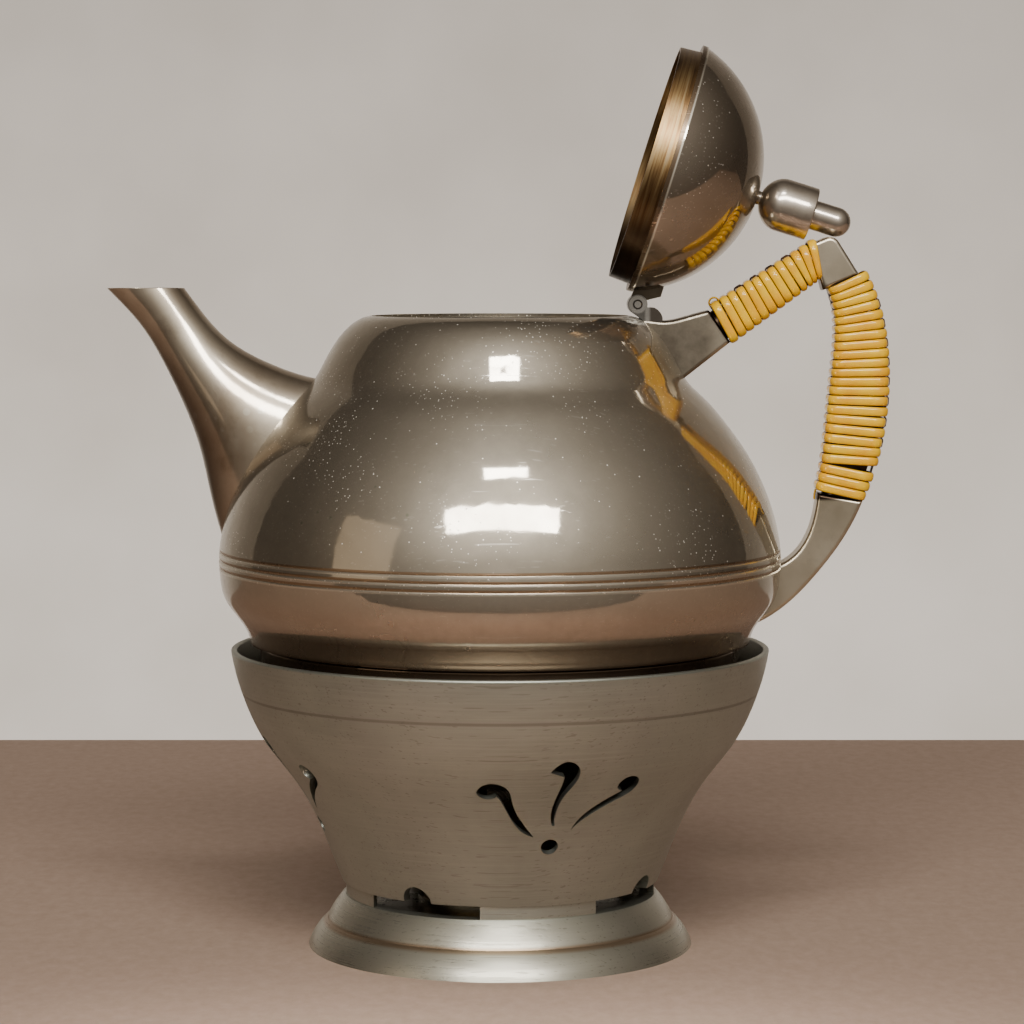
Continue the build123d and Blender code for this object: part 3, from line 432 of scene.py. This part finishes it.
def handle_stain_and_painted_shade(metal, here, tone):
    across, height = metal.split(here, 0), metal.split(here, 2)
    blot = metal.between(metal.noise(here, 60.0, 5.0, 0.7), 0.30, 0.62, 0.55, 1.0)
    tone = metal.mix(metal.between(across, 0.066, 0.058) * blot * 0.85, tone, STAINED_ROOT)
    along = ((across - ARM_START.x * MM) * ARM_ALONG.x
             + (height - ARM_START.y * MM) * ARM_ALONG.y)
    arm_core_shade = (metal.between(along, -0.0032, -0.0024) * metal.between(along, 0.0300, 0.0285)
                * metal.between(height, 0.165, 0.166))
    grip_core_shade = (metal.between(height, 0.1272, 0.1280) * metal.between(height, 0.1868, 0.1862)
                 * metal.between(across, 0.086, 0.087))
    # Painted shade on the cores under the cane, so the gaps between turns read dark.
    return metal.mix(arm_core_shade.maths("MAXIMUM", arm_core_shade, grip_core_shade), tone, PAINTED_SHADE_UNDER_CANE)


handle_nickel = satin_nickel("handle_nickel", (0.68, 0.61, 0.49), (0.50, 0.44, 0.33), 0.30,
                             (0.5, 4, 0.5), stains_and_painted_light=handle_stain_and_painted_shade)
dress(handle_nickel, "handle")
print("handle finished")

# %% [markdown]
# Painted shade sits in the hinge: a dark ring round the pin's end and dark rims on the knuckles.
# A dull pad beside them is darker. The steel in between is a little bluer than the nickel.

# %% Steel of the hinge
PIN_X, PIN_Z, PIN_RING = 0.0389, 0.1830, 0.00120
PAINTED_HINGE_SHADE, DULL_PAD = (0.05, 0.045, 0.04), (0.13, 0.11, 0.09)


def hinge_painted_shade_and_pad(metal, here, tone):
    across, height = metal.split(here, 0) - PIN_X, metal.split(here, 2) - PIN_Z
    reach = (across * across + height * height) ** 0.5
    from_ring = (reach - PIN_RING).maths("ABSOLUTE", reach - PIN_RING)
    ring = metal.between(from_ring, 0.00030, 0.00012)
    rim = metal.between(reach, 0.0023, 0.0027) * metal.between(across, 0.0024, 0.0018)
    # Painted shade: a dark ring round the pin's end and dark rims on the knuckles.
    tone = metal.mix(ring.maths("MAXIMUM", ring, rim * 0.7) * 0.9, tone, PAINTED_HINGE_SHADE)
    return metal.mix(metal.between(across, 0.0030, 0.0038) * 0.9, tone, DULL_PAD)


hinge_steel = satin_nickel("hinge_steel", (0.66, 0.66, 0.64), (0.40, 0.39, 0.37), 0.22,
                           (1, 4, 1), stains_and_painted_light=hinge_painted_shade_and_pad)
dress(hinge_steel, "hinge_base", "hinge_pin", "knob_nut")
print("hinge finished")

# %% [markdown]
# The spout's lower side gets painted shade towards its root, and round blotches lie beside its
# middle. The painted shade follows the spout's curve, which is close to a parabola there.

# %% Satin finish of the spout
CURVE_AT, CURVE_X, CURVE_BEND = 0.1275, 0.0821, 8.5
PALE_BLOTCH, PAINTED_SHADE_SIDE = (0.74, 0.72, 0.62), (0.085, 0.062, 0.045)


def spout_blotches_and_painted_shade(metal, here, tone):
    across, height = metal.split(here, 0), metal.split(here, 2)
    climb = height - CURVE_AT
    inside = across + CURVE_X + climb * climb * CURVE_BEND
    lower = metal.between(inside, 0.0095, 0.0010) * metal.between(height, 0.195, 0.160, 0.35, 1.0)
    blotch = (metal.between(metal.cells(here, 260.0), 0.30, 0.24)
              * metal.between(height, 0.158, 0.152) * metal.between(height, 0.143, 0.147)
              * metal.between(metal.noise(here, 70.0), 0.46, 0.54))
    tone = metal.mix(blotch * 0.5, tone, PALE_BLOTCH)
    # Painted shade on the spout's lower side, strongest towards its root.
    return metal.mix(lower * 0.8, tone, PAINTED_SHADE_SIDE)


spout_nickel = satin_nickel("spout_nickel", (0.66, 0.59, 0.48), (0.46, 0.38, 0.29), 0.12,
                            (1, 1, 0.3), 0.2, stains_and_painted_light=spout_blotches_and_painted_shade, glow=0.42)
dress(spout_nickel, "spout")
print("spout finished")

# %% [markdown]
# The knob is turned from bar. Its inner end is a full round, which takes fine rings to mirror
# without a kink, so it is turned again here: a grid is added, each of its rows becomes one ring
# on the lid's axis, and merging doubles closes the seam and the two ends.

# %% Turn the knob
BEAD_TOP, KNOB_RADIUS, KNOB_ROUND, KNOB_LENGTH, STUD_RADIUS = 28.147, 7.55, 6.8, 15.6, 1.9
ROUND_STEPS, RING = 24, 96
knob_outline = [(0.0, 0.0), (0.0, STUD_RADIUS)]
for step in range(3, ROUND_STEPS + 1):
    turn = radians(step * 90 / ROUND_STEPS)
    along, radius = KNOB_ROUND * (1 - cos(turn)), KNOB_RADIUS * sin(turn)
    knob_outline.append((along, max(radius, STUD_RADIUS)))
knob_outline += [(9.7, KNOB_RADIUS), (12.6, KNOB_RADIUS), (15.2, KNOB_RADIUS), (15.42, 7.49),
                 (15.55, 7.33), (KNOB_LENGTH, 7.12), (KNOB_LENGTH, 5.6), (KNOB_LENGTH, 4.3),
                 (KNOB_LENGTH, 0.0)]
bpy.ops.object.select_all(action="DESELECT")
bpy.ops.mesh.primitive_grid_add(x_subdivisions=RING, y_subdivisions=len(knob_outline) - 1)
turned_knob = bpy.context.object
turned_knob.name = "turned_knob"
points = turned_knob.data.vertices
DEPTHWISE = Vector((0, 1, 0))
aside = LID_AXIS.cross(DEPTHWISE)
for row, (along, radius) in enumerate(knob_outline):
    for column in range(RING + 1):
        turn = 2 * pi * column / RING
        ring = (aside * cos(turn) + DEPTHWISE * sin(turn)) * radius
        point = LID_MIDDLE + (LID_AXIS * (BEAD_TOP + along) + ring) * MM
        points[row * (RING + 1) + column].co = point
bpy.ops.object.mode_set(mode="EDIT")
bpy.ops.mesh.select_all(action="SELECT")
bpy.ops.mesh.remove_doubles(threshold=1e-7)
bpy.ops.mesh.normals_make_consistent(inside=False)
bpy.ops.object.mode_set(mode="OBJECT")
bpy.ops.object.shade_smooth_by_angle(angle=radians(40))
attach(turned_knob, "lid")
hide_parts("lid_knob")
turned_knob.data.materials.append(knob_nickel.material)
print("knob", len(turned_knob.data.polygons), "faces")

# %% [markdown]
# The handle is a flat bar bound with split cane. Each binding is one long strip: flat beneath,
# crowned on top, wound tightly round the bar. The turns aren't even, they fan where the bar
# bends, so each one is placed by where it crosses the inner and the outer side. A strip that
# wraps a bar at changing angles can't be bent by hand tools, so a grid is added and each of its
# rows is moved to its station on the route. The grid's own UV map then follows the strip.

# %% Lay a strip along its stations


def lay_strip(name, stations, profile, body="teapot"):
    """A strip of the given cross section. A station holds its middle, its way across, the way it
    faces and its half width."""
    bpy.ops.object.select_all(action="DESELECT")
    bpy.ops.mesh.primitive_grid_add(x_subdivisions=len(profile), y_subdivisions=len(stations) - 1)
    strip = bpy.context.object
    strip.name = name
    points, columns = strip.data.vertices, len(profile) + 1
    for row, (middle, across, outward, half) in enumerate(stations):
        for column in range(columns):
            aside, height = profile[column % len(profile)]
            point = middle + across * aside * half + outward * height
            points[row * columns + column].co = point * MM
    bpy.ops.object.mode_set(mode="EDIT")
    bpy.ops.mesh.select_all(action="SELECT")
    bpy.ops.mesh.remove_doubles(threshold=1e-7)
    bpy.ops.mesh.fill_holes(sides=0)
    bpy.ops.mesh.normals_make_consistent(inside=False)
    bpy.ops.object.mode_set(mode="OBJECT")
    bpy.ops.object.shade_smooth_by_angle(angle=radians(48))
    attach(strip, body)
    print(name, len(strip.data.polygons), "faces")
    return strip


CROWN = [(-1.0, 0.22), (-0.93, 0.52), (-0.72, 0.73), (-0.38, 0.86), (0.0, 0.90),
         (0.38, 0.86), (0.72, 0.73), (0.93, 0.52), (1.0, 0.22), (0.9, 0.0), (-0.9, 0.0)]

# %% [markdown]
# The sides of the arm are straight lines that draw together, and the sides of the grip are gentle
# curves. The lists hold where each turn crosses them, in millimetres: along the arm, and by its
# height on the grip. Turns that pass over the dark lengthwise strip stand a little prouder.

# %% Sides of the handle and places of the turns
ARM_OUTER = [0.42, 3.30, 5.88, 8.62, 11.25, 13.75, 16.28, 18.93, 21.58, 24.20, 26.96, 29.77,
             32.60]
ARM_INNER = [-0.60, 2.30, 5.04, 7.70, 10.37, 13.12, 15.88, 18.57, 21.28, 23.84, 25.94, 27.50,
             29.20]
GRIP_OUTER = [191.0, 188.4, 185.75, 183.1, 180.3, 177.55, 174.8, 172.1, 169.4, 166.7, 164.0,
              161.2, 158.45, 155.6, 152.6, 149.6, 146.6, 143.75, 141.1, 138.5, 134.1, 131.4,
              128.8]
GRIP_INNER = [186.8, 184.75, 182.7, 180.5, 178.25, 175.95, 173.6, 171.1, 168.6, 166.1, 163.7,
              161.2, 158.7, 156.1, 153.4, 150.8, 148.1, 145.3, 142.35, 139.5, 136.8, 134.2,
              131.6]
GRIP_MIDDLE = 160
OUTER_CURVE = (109.35, 0.02516, -0.005281, -2.1e-5, -1.344e-6)
INNER_CURVE = (94.16, 0.1099, 0.0007, -8.185e-5, -4.561e-6)
CANE_HEIGHT, DARK_HEIGHT = 0.90, 0.50
SEAT_DEPTH, CORNER = 5.2, 2.2
ARM_HALF, ARM_LENGTH = 6.5, 29.2


def in_space(flat):
    """A point of the handle's plane, given by its X and Z, in space."""
    return Vector((flat.x, 0, flat.y))


def arm_side(outer, along):
    """Where the arm's binding is seated on one of its sides."""
    half = ARM_HALF - min(max(along / ARM_LENGTH, 0), 1)
    aside = half - CANE_HEIGHT - DARK_HEIGHT + 0.1 if outer else CANE_HEIGHT - half
    return ARM_START + ARM_ALONG * along + ARM_OUT * aside


def grip_side(outer, height):
    """Where the grip's binding is seated on one of its sides."""
    curve = OUTER_CURVE if outer else INNER_CURVE
    across = sum(share * (height - GRIP_MIDDLE) ** power for power, share in enumerate(curve))
    return Vector((across, height))


print("turns", len(ARM_OUTER), "and", len(GRIP_OUTER))

# %% [markdown]
# One turn is two faces. Each goes from one side of the bar, round a corner, straight over the
# face, and round the next corner. The half width of the strip at a station is what the turns
# before and after leave free, up to the real width of the cane.

# %% Wind the cane
CANE_HALF, GAP_SHARE = 1.32, 0.485


def over_face(width):
    """Stations over one face of the bar as distance across, depth, and the way they face."""
    deep = SEAT_DEPTH - CORNER
    route = [(0, deep * part / 3, -1, 0) for part in range(3)]
    for step in range(7):
        turn = pi - step * pi / 12
        route.append((CORNER * (1 + cos(turn)), deep + CORNER * sin(turn), cos(turn), sin(turn)))
    for part in range(1, 5):
        route.append((CORNER + (width - 2 * CORNER) * part / 5, SEAT_DEPTH, 0, 1))
    for step in range(7):
        turn = pi / 2 - step * pi / 12
        route.append((width - CORNER * (1 - cos(turn)), deep + CORNER * sin(turn),
                      cos(turn), sin(turn)))
    return route + [(width, deep * part / 3, 1, 0) for part in (2, 1)]


def wind(side, outer_places, inner_places, over_strip):
    """Stations of a binding: middle, way across, way it faces and half width."""
    outers = [side(True, place) for place in outer_places]
    inners = [side(False, place) for place in inner_places]
    inners.append(inners[-1] * 2 - inners[-2])
    middles, facing = [], []
    for turn, outer in enumerate(outers):
        lift = DARK_HEIGHT if turn + 1 in over_strip else 0
        for front, inner in ((True, inners[turn]), (False, inners[turn + 1])):
            way = (outer - inner).normalized()
            face = over_face((outer - inner).length)
            for across, depth, faces_out, faces_front in face if front else face[::-1]:
                proud = lift * max(1 - (depth / SEAT_DEPTH) ** 2, 0) * (across > CORNER)
                depth, faces_front = (depth, faces_front) if front else (-depth, -faces_front)
                middles.append(in_space(inner + way * (across + proud)) - DEPTHWISE * depth)
                facing.append((in_space(way) * faces_out - DEPTHWISE * faces_front).normalized())
    per_turn = len(middles) // len(outers)
    stations = []
    for i, middle in enumerate(middles[:-per_turn // 4]):
        before, after = middles[max(i - 1, 0)], middles[min(i + 1, len(middles) - 1)]
        across = (after - before).cross(facing[i]).normalized()
        gaps = [abs((middles[j] - middle).dot(across)) for j in (i - per_turn, i + per_turn)
                if 0 <= j < len(middles)]
        stations.append((middle, across, facing[i], min(min(gaps) * GAP_SHARE, CANE_HALF)))
    return stations


OVER_ARM_STRIP = [1, 2, 3, 5, 7, 9, 11, 12, 13]
OVER_GRIP_STRIP = [1, 2, 3, 5, 7, 9, 11, 13, 15, 17, 19, 20, 21, 22, 23]
on_arm = wind(arm_side, ARM_OUTER, ARM_INNER, OVER_ARM_STRIP)
on_grip = wind(grip_side, GRIP_OUTER, GRIP_INNER, OVER_GRIP_STRIP)
arm_binding = lay_strip("arm_binding", on_arm, CROWN)
grip_binding = lay_strip("grip_binding", on_grip, CROWN)
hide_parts("arm_wrap")
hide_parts("grip_wrap")

# %% [markdown]
# The dark strip lies along the outer side. It dives under some turns and rides over the others,
# which makes the ladder of black dashes on the handle's back. Its level changes in the gaps.

# %% Dark lengthwise strips
FLAT = [(-1.0, 0.1), (-0.85, 0.42), (-0.45, 0.5), (0.45, 0.5), (0.85, 0.42), (1.0, 0.1),
        (0.85, 0.0), (-0.85, 0.0)]
DARK_HALF, STEPS_PER_TURN = 1.5, 12


def lace(side, places, over_strip, first, last):
    """Stations of a dark strip from one turn to another, as it dives under and rides over them."""
    stations = []
    for step in range((last - first) * STEPS_PER_TURN + 1):
        where = first - 1 + step / STEPS_PER_TURN
        turn = min(int(where), len(places) - 2)
        share = where - turn
        place = places[turn] + (places[turn + 1] - places[turn]) * share
        levels = [0 if number + 1 in over_strip else CANE_HEIGHT for number in (turn, turn + 1)]
        blend = min(max((share - 0.28) / 0.44, 0), 1)
        level = levels[0] + (levels[1] - levels[0]) * blend * blend * (3 - 2 * blend)
        here, ahead = side(True, place), side(True, place + (places[1] - places[0]) * 0.1)
        along = (ahead - here).normalized()
        outward = in_space(Vector((-along.y, along.x)))
        if outward.x * 0.6 + outward.z < 0:
            outward = -outward
        stations.append((in_space(here) + outward * level, DEPTHWISE, outward, DARK_HALF))
    return stations


arm_lace = lay_strip("arm_lace", lace(arm_side, ARM_OUTER, OVER_ARM_STRIP, 1, 13), FLAT)
grip_lace = lay_strip("grip_lace", lace(grip_side, GRIP_OUTER, OVER_GRIP_STRIP, 1, 23), FLAT)
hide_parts("arm_strip")
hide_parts("grip_strip")

# %% [markdown]
# Two ends of cane show. At the root a small loop of it stands up before the first turn, where it
# was tucked back. Below the last turn on the grip the end lies against the inner side.

# %% Cane ends


def ribbon(points, depth, half, flip=1):
    """Stations of a short free strip, through points of the handle's plane."""
    flats = [Vector(point) for point in points]
    stations = []
    for i, flat in enumerate(flats):
        along = (flats[min(i + 1, len(flats) - 1)] - flats[max(i - 1, 0)]).normalized()
        outward = in_space(Vector((-along.y, along.x))) * flip
        stations.append((in_space(flat) - DEPTHWISE * depth, DEPTHWISE, outward, half))
    return stations


THIN = [(-1.0, 0.1), (-0.8, 0.4), (0.0, 0.55), (0.8, 0.4), (1.0, 0.1), (0.8, 0.0), (-0.8, 0.0)]
LOOP_MIDDLE, LOOP_RADIUS = Vector((60.6, 183.5)), 1.15
loop_points = [LOOP_MIDDLE + Vector((cos(radians(turn)), sin(radians(turn)))) * LOOP_RADIUS
               for turn in range(230, -41, -15)]
tail_points = [(90.75, 132.6), (90.3, 131.2), (89.95, 129.8), (89.75, 128.6), (89.75, 127.6)]
cane_loop = lay_strip("cane_loop", ribbon(loop_points, 1.6, 1.1), THIN)
cane_tail = lay_strip("cane_tail", ribbon(tail_points, 0.4, 1.15, -1), THIN)
cane_pieces, dark_pieces = (arm_binding, grip_binding, cane_loop, cane_tail), (arm_lace, grip_lace)
print("cane ends laid")

# %% [markdown]
# Cane keeps its glossy skin, so it is varnish over a straw yellow that darkens to orange in
# blotches. Fine fibres run along it, and painted shade darkens the edges of each turn. The
# pattern uses the strip's own UV map: one way is round the strip, the other along it.

# %% Cane
STRAW, ORANGE, FIBRE = (1.0, 0.60, 0.0), (0.90, 0.43, 0.0), (0.60, 0.27, 0.02)
PAINTED_EDGE_SHADE, DARK_SPECK = (0.16, 0.065, 0.012), (0.16, 0.07, 0.02)
cane = Finish("cane", roughness=0.36)
on_strip = cane.add("ShaderNodeTexCoord", output="UV")
off_middle = cane.split(on_strip, 0) * 2.75 - 1.0
edge = off_middle.maths("ABSOLUTE", off_middle)
drawn = cane.add("ShaderNodeMapping", {}, {"Vector": on_strip, "Scale": (9, 90, 1)})
fibre = cane.noise(drawn, 3.0, 4.0, 0.6)
blotch = cane.noise(cane.places(), 150.0, 3.0, 0.55)
speck = (cane.between(cane.cells(cane.places(), 900.0), 0.16, 0.08)
         * cane.between(blotch, 0.55, 0.62))
tone = cane.mix(cane.between(blotch, 0.36, 0.66), STRAW, ORANGE)
tone = cane.mix(cane.between(fibre, 0.50, 0.78) * 0.55, tone, FIBRE)
# Painted shade along the edges of each turn, where it meets the next.
tone = cane.mix(cane.between(edge, 0.62, 0.95) * 0.92, tone, PAINTED_EDGE_SHADE)
cane.feed("Base Color", cane.mix(speck * 0.6, tone, DARK_SPECK))
cane.feed("Roughness", cane.between(fibre, 0.3, 0.75, 0.48, 0.62))
cane.feed("Coat Weight", cane.between(edge, 0.85, 1.0, 1.0, 0.05))
cane.shader.inputs["Specular IOR Level"].default_value = 0.15
cane.shader.inputs["Coat Roughness"].default_value = 0.12
cane.relief(fibre * 0.5 + blotch * 0.4, 0.25, 0.0002)
for piece in cane_pieces:
    piece.data.materials.append(cane.material)
print("cane finished")

# %% [markdown]
# The lengthwise strip was stained nearly black. It is split from the same plant, so it has a grain
# too, which only its reddish parts show.

# %% Dark strip
BLACK, REDDISH = (0.018, 0.012, 0.010), (0.075, 0.032, 0.018)
dark_strip = Finish("dark_strip", roughness=0.4)
grain = dark_strip.noise(dark_strip.places((1, 4, 1)), 240.0, 4.0, 0.6)
dark_strip.feed("Base Color", dark_strip.mix(dark_strip.between(grain, 0.35, 0.7), BLACK, REDDISH))
dark_strip.feed("Roughness", dark_strip.between(grain, 0.3, 0.7, 0.28, 0.5))
dark_strip.relief(grain, 0.3, 0.0002)
for piece in dark_pieces:
    piece.data.materials.append(dark_strip.material)
print("dark strips finished")

# %% [markdown]
# The warmer is softer grey pewter, turned on a lathe and never polished bright. Its brushing runs
# round it, so the noise is stretched along the circumference by squeezing its height.

# %% Brushed pewter of the warmer
CREASE_AT, FOOT_STEP_AT = 0.0732, 0.0074
PEWTER, DEEP_PEWTER, BRUSHED = (0.41, 0.43, 0.385), (0.32, 0.335, 0.295), (0.52, 0.53, 0.47)
FOOT_TINT_AND_PAINTED_SHEEN, DARK_SCRATCH = (0.54, 0.50, 0.41), (0.16, 0.145, 0.115)
PAINTED_CREASE_SHADE, BROWN_STEP = (0.10, 0.085, 0.065), (0.28, 0.17, 0.09)
pewter = Finish("warmer_pewter", metallic=1.0)
here = pewter.places()
height = pewter.split(here, 2)
brushing = pewter.noise(pewter.places((1, 1, 60)), 26.0, 6.0, 0.72)
patina = pewter.noise(here, 18.0, 5.0, 0.6, 0.6)
fine = pewter.noise(here, 320.0, 3.0, 0.6)
scratch = pewter.scratches(((0.5, 0.1, 0.4), 11.0, 0.70), ((0.2, 0.9, 1.7), 14.0, 0.70),
                           ((1.2, 0.4, 2.6), 12.0, 0.70), ((0.9, 1.3, 0.2), 10.0, 0.70))
from_crease = (height - CREASE_AT).maths("ABSOLUTE", height - CREASE_AT)
incised = pewter.between(from_crease, 0.00055, 0.00025)
from_step = (height - FOOT_STEP_AT).maths("ABSOLUTE", height - FOOT_STEP_AT)
stained = pewter.between(from_step, 0.0011, 0.0004)
at_foot = pewter.between(height, 0.0160, 0.0140)
tone = pewter.mix(pewter.between(patina, 0.35, 0.68), PEWTER, DEEP_PEWTER)
tone = pewter.mix(pewter.between(brushing, 0.45, 0.75) * 0.4, tone, BRUSHED)
# The foot is warmer in tone, and lightened as a painted sheen that brightens its highlight.
tone = pewter.mix(at_foot * 0.6, tone, FOOT_TINT_AND_PAINTED_SHEEN)
tone = pewter.mix(scratch * 0.35, tone, DARK_SCRATCH)
# Painted shade in the incised crease line.
tone = pewter.mix(incised * 0.40, tone, PAINTED_CREASE_SHADE)
tone = pewter.mix(stained * 0.7, tone, BROWN_STEP)
worn = pewter.between(brushing * 0.5 + patina * 0.5, 0.3, 0.7, 0.28, 0.42)
pewter.feed("Base Color", tone)
pewter.feed("Roughness", worn + fine * 0.04 - at_foot * 0.08)
pewter.veil(0.36, 0.58, tone)
pewter.relief(brushing * 0.6 + fine * 0.2 - scratch * 0.3 - incised * 2.0, 0.22, 0.0003)
dress(pewter, "warmer_shell", "warmer_foot", "rest_ring", "burner_plate")
print("pewter made")

# %% [markdown]
# Tea has tinted the lid's skirt to bronze. It was turned on a lathe, so its streaks run round it:
# the noise is squeezed along the lid's axis. Painted shade darkens it to nearly black at its
# lower end.

# %% Bronze tint of the skirt
DARK_FROM, DARK_TO, CAP_FROM, CAP_TO = 0.222, 0.203, 0.244, 0.256
PAINTED_SKIRT_SHADE, CAP_BROWN = (0.030, 0.018, 0.012), (0.15, 0.12, 0.09)
bronze = Finish("tinted_bronze", metallic=1.0)
here = bronze.places()
across, up = bronze.split(here, 1), bronze.split(here, 2)
squeezed = bronze.add("ShaderNodeCombineXYZ", {},
                      {0: along_lid(bronze, here) * 900.0, 1: up * 30.0, 2: across * 30.0})
streaks = bronze.noise(squeezed, 1.0, 4.0, 0.65, 0.4)
drift = bronze.noise(here, 60.0, 3.0)
tone = bronze.ramp(streaks * 0.7 + drift * 0.3, (0.36, (0.10, 0.06, 0.03)),
                   (0.47, (0.26, 0.15, 0.065)), (0.56, (0.38, 0.26, 0.12)),
                   (0.68, (0.38, 0.30, 0.20)))
# Painted shade at the skirt's lower end.
tone = bronze.mix(bronze.between(up, DARK_FROM, DARK_TO) * 0.95, tone, PAINTED_SKIRT_SHADE)
tone = bronze.mix(bronze.between(up, CAP_FROM, CAP_TO) * 0.6, tone, CAP_BROWN)
bronze.feed("Base Color", tone)
bronze.feed("Roughness", bronze.between(streaks, 0.3, 0.7, 0.30, 0.42))
bronze.relief(streaks, 0.15, 0.0003)
dress(bronze, "lid_skirt")
print("bronze made")

# %% [markdown]
# The burner is dull brass, and its wick is twisted cotton: diagonal bands, one for each strand.

# %% Brass and cotton of the burner
brass = satin_nickel("burner_brass", (0.55, 0.40, 0.18), (0.33, 0.23, 0.10), 0.34, (1, 1, 12))
dress(brass, "burner_reservoir", "burner_head", "wick_tube")

cotton = Finish("wick_cotton", roughness=0.9)
twist = cotton.add("ShaderNodeTexWave", {"bands_direction": "DIAGONAL"},
                   {"Vector": cotton.places(), "Scale": 420.0, "Distortion": 2.0, "Detail": 2.0})
cotton.feed("Base Color", cotton.mix(twist, (0.50, 0.46, 0.37), (0.74, 0.70, 0.61)))
cotton.relief(twist, 0.6, 0.0004)
dress(cotton, "wick")
print("brass and cotton made")

# %% [markdown]
# The table and the wall are plain: pale, matt, hardly varied.

# %% Table and wall finishes
BROWN_TABLE, PALE_TABLE = (0.335, 0.238, 0.182), (0.40, 0.29, 0.228)
GREY_WALL, PALE_WALL = (0.585, 0.54, 0.49), (0.66, 0.615, 0.565)
table_paint = Finish("table_paint", roughness=0.9)
table_paint.shader.inputs["Specular IOR Level"].default_value = 0.2
crumbs = table_paint.noise(table_paint.places((1, 0.6, 1)), 260.0, 5.0, 0.7)
crumbs = table_paint.between(crumbs, 0.3, 0.7)
table_paint.feed("Base Color", table_paint.mix(crumbs, BROWN_TABLE, PALE_TABLE))
table.data.materials.append(table_paint.material)
wall_paint = Finish("wall_paint", roughness=0.9)
cloudy = wall_paint.noise(wall_paint.places(), 4.5, 4.0, 0.5)
cloudy = wall_paint.between(cloudy, 0.35, 0.65)
wall_paint.feed("Base Color", wall_paint.mix(cloudy, GREY_WALL, PALE_WALL))
wall.data.materials.append(wall_paint.material)
print("table and wall painted")

# %% [markdown]
# Metal mirrors all that is round it, so the world is part of its finish. It is brightest high in
# front and falls off to a warm dark behind and below.

# %% Light from all round
BRIGHTEST = (0.148, -0.791, 0.593)
ROOM_TONES = ((0.0, (0.045, 0.036, 0.028)), (0.30, (0.10, 0.083, 0.066)),
              (0.66, (0.22, 0.192, 0.160)), (1.0, (0.46, 0.41, 0.35)))
world = bpy.data.worlds.new("studio")
bpy.context.scene.world = world
world.use_nodes = True
room = world.node_tree
toward = room.nodes.new("ShaderNodeTexCoord")
nearness = room.nodes.new("ShaderNodeVectorMath")
nearness.operation = "DOT_PRODUCT"
nearness.inputs[1].default_value = BRIGHTEST
shade = room.nodes.new("ShaderNodeValToRGB")
for _ in ROOM_TONES[2:]:
    shade.color_ramp.elements.new(1.0)
for element, (place, colour) in zip(shade.color_ramp.elements, ROOM_TONES):
    element.position, element.color = place, (*colour, 1)
room.links.new(toward.outputs["Generated"], nearness.inputs[0])
room.links.new(nearness.outputs["Value"], shade.inputs["Fac"])
room.links.new(shade.outputs["Color"], room.nodes["Background"].inputs["Color"])
room.nodes["Background"].inputs["Strength"].default_value = 1.0
print("room lit")
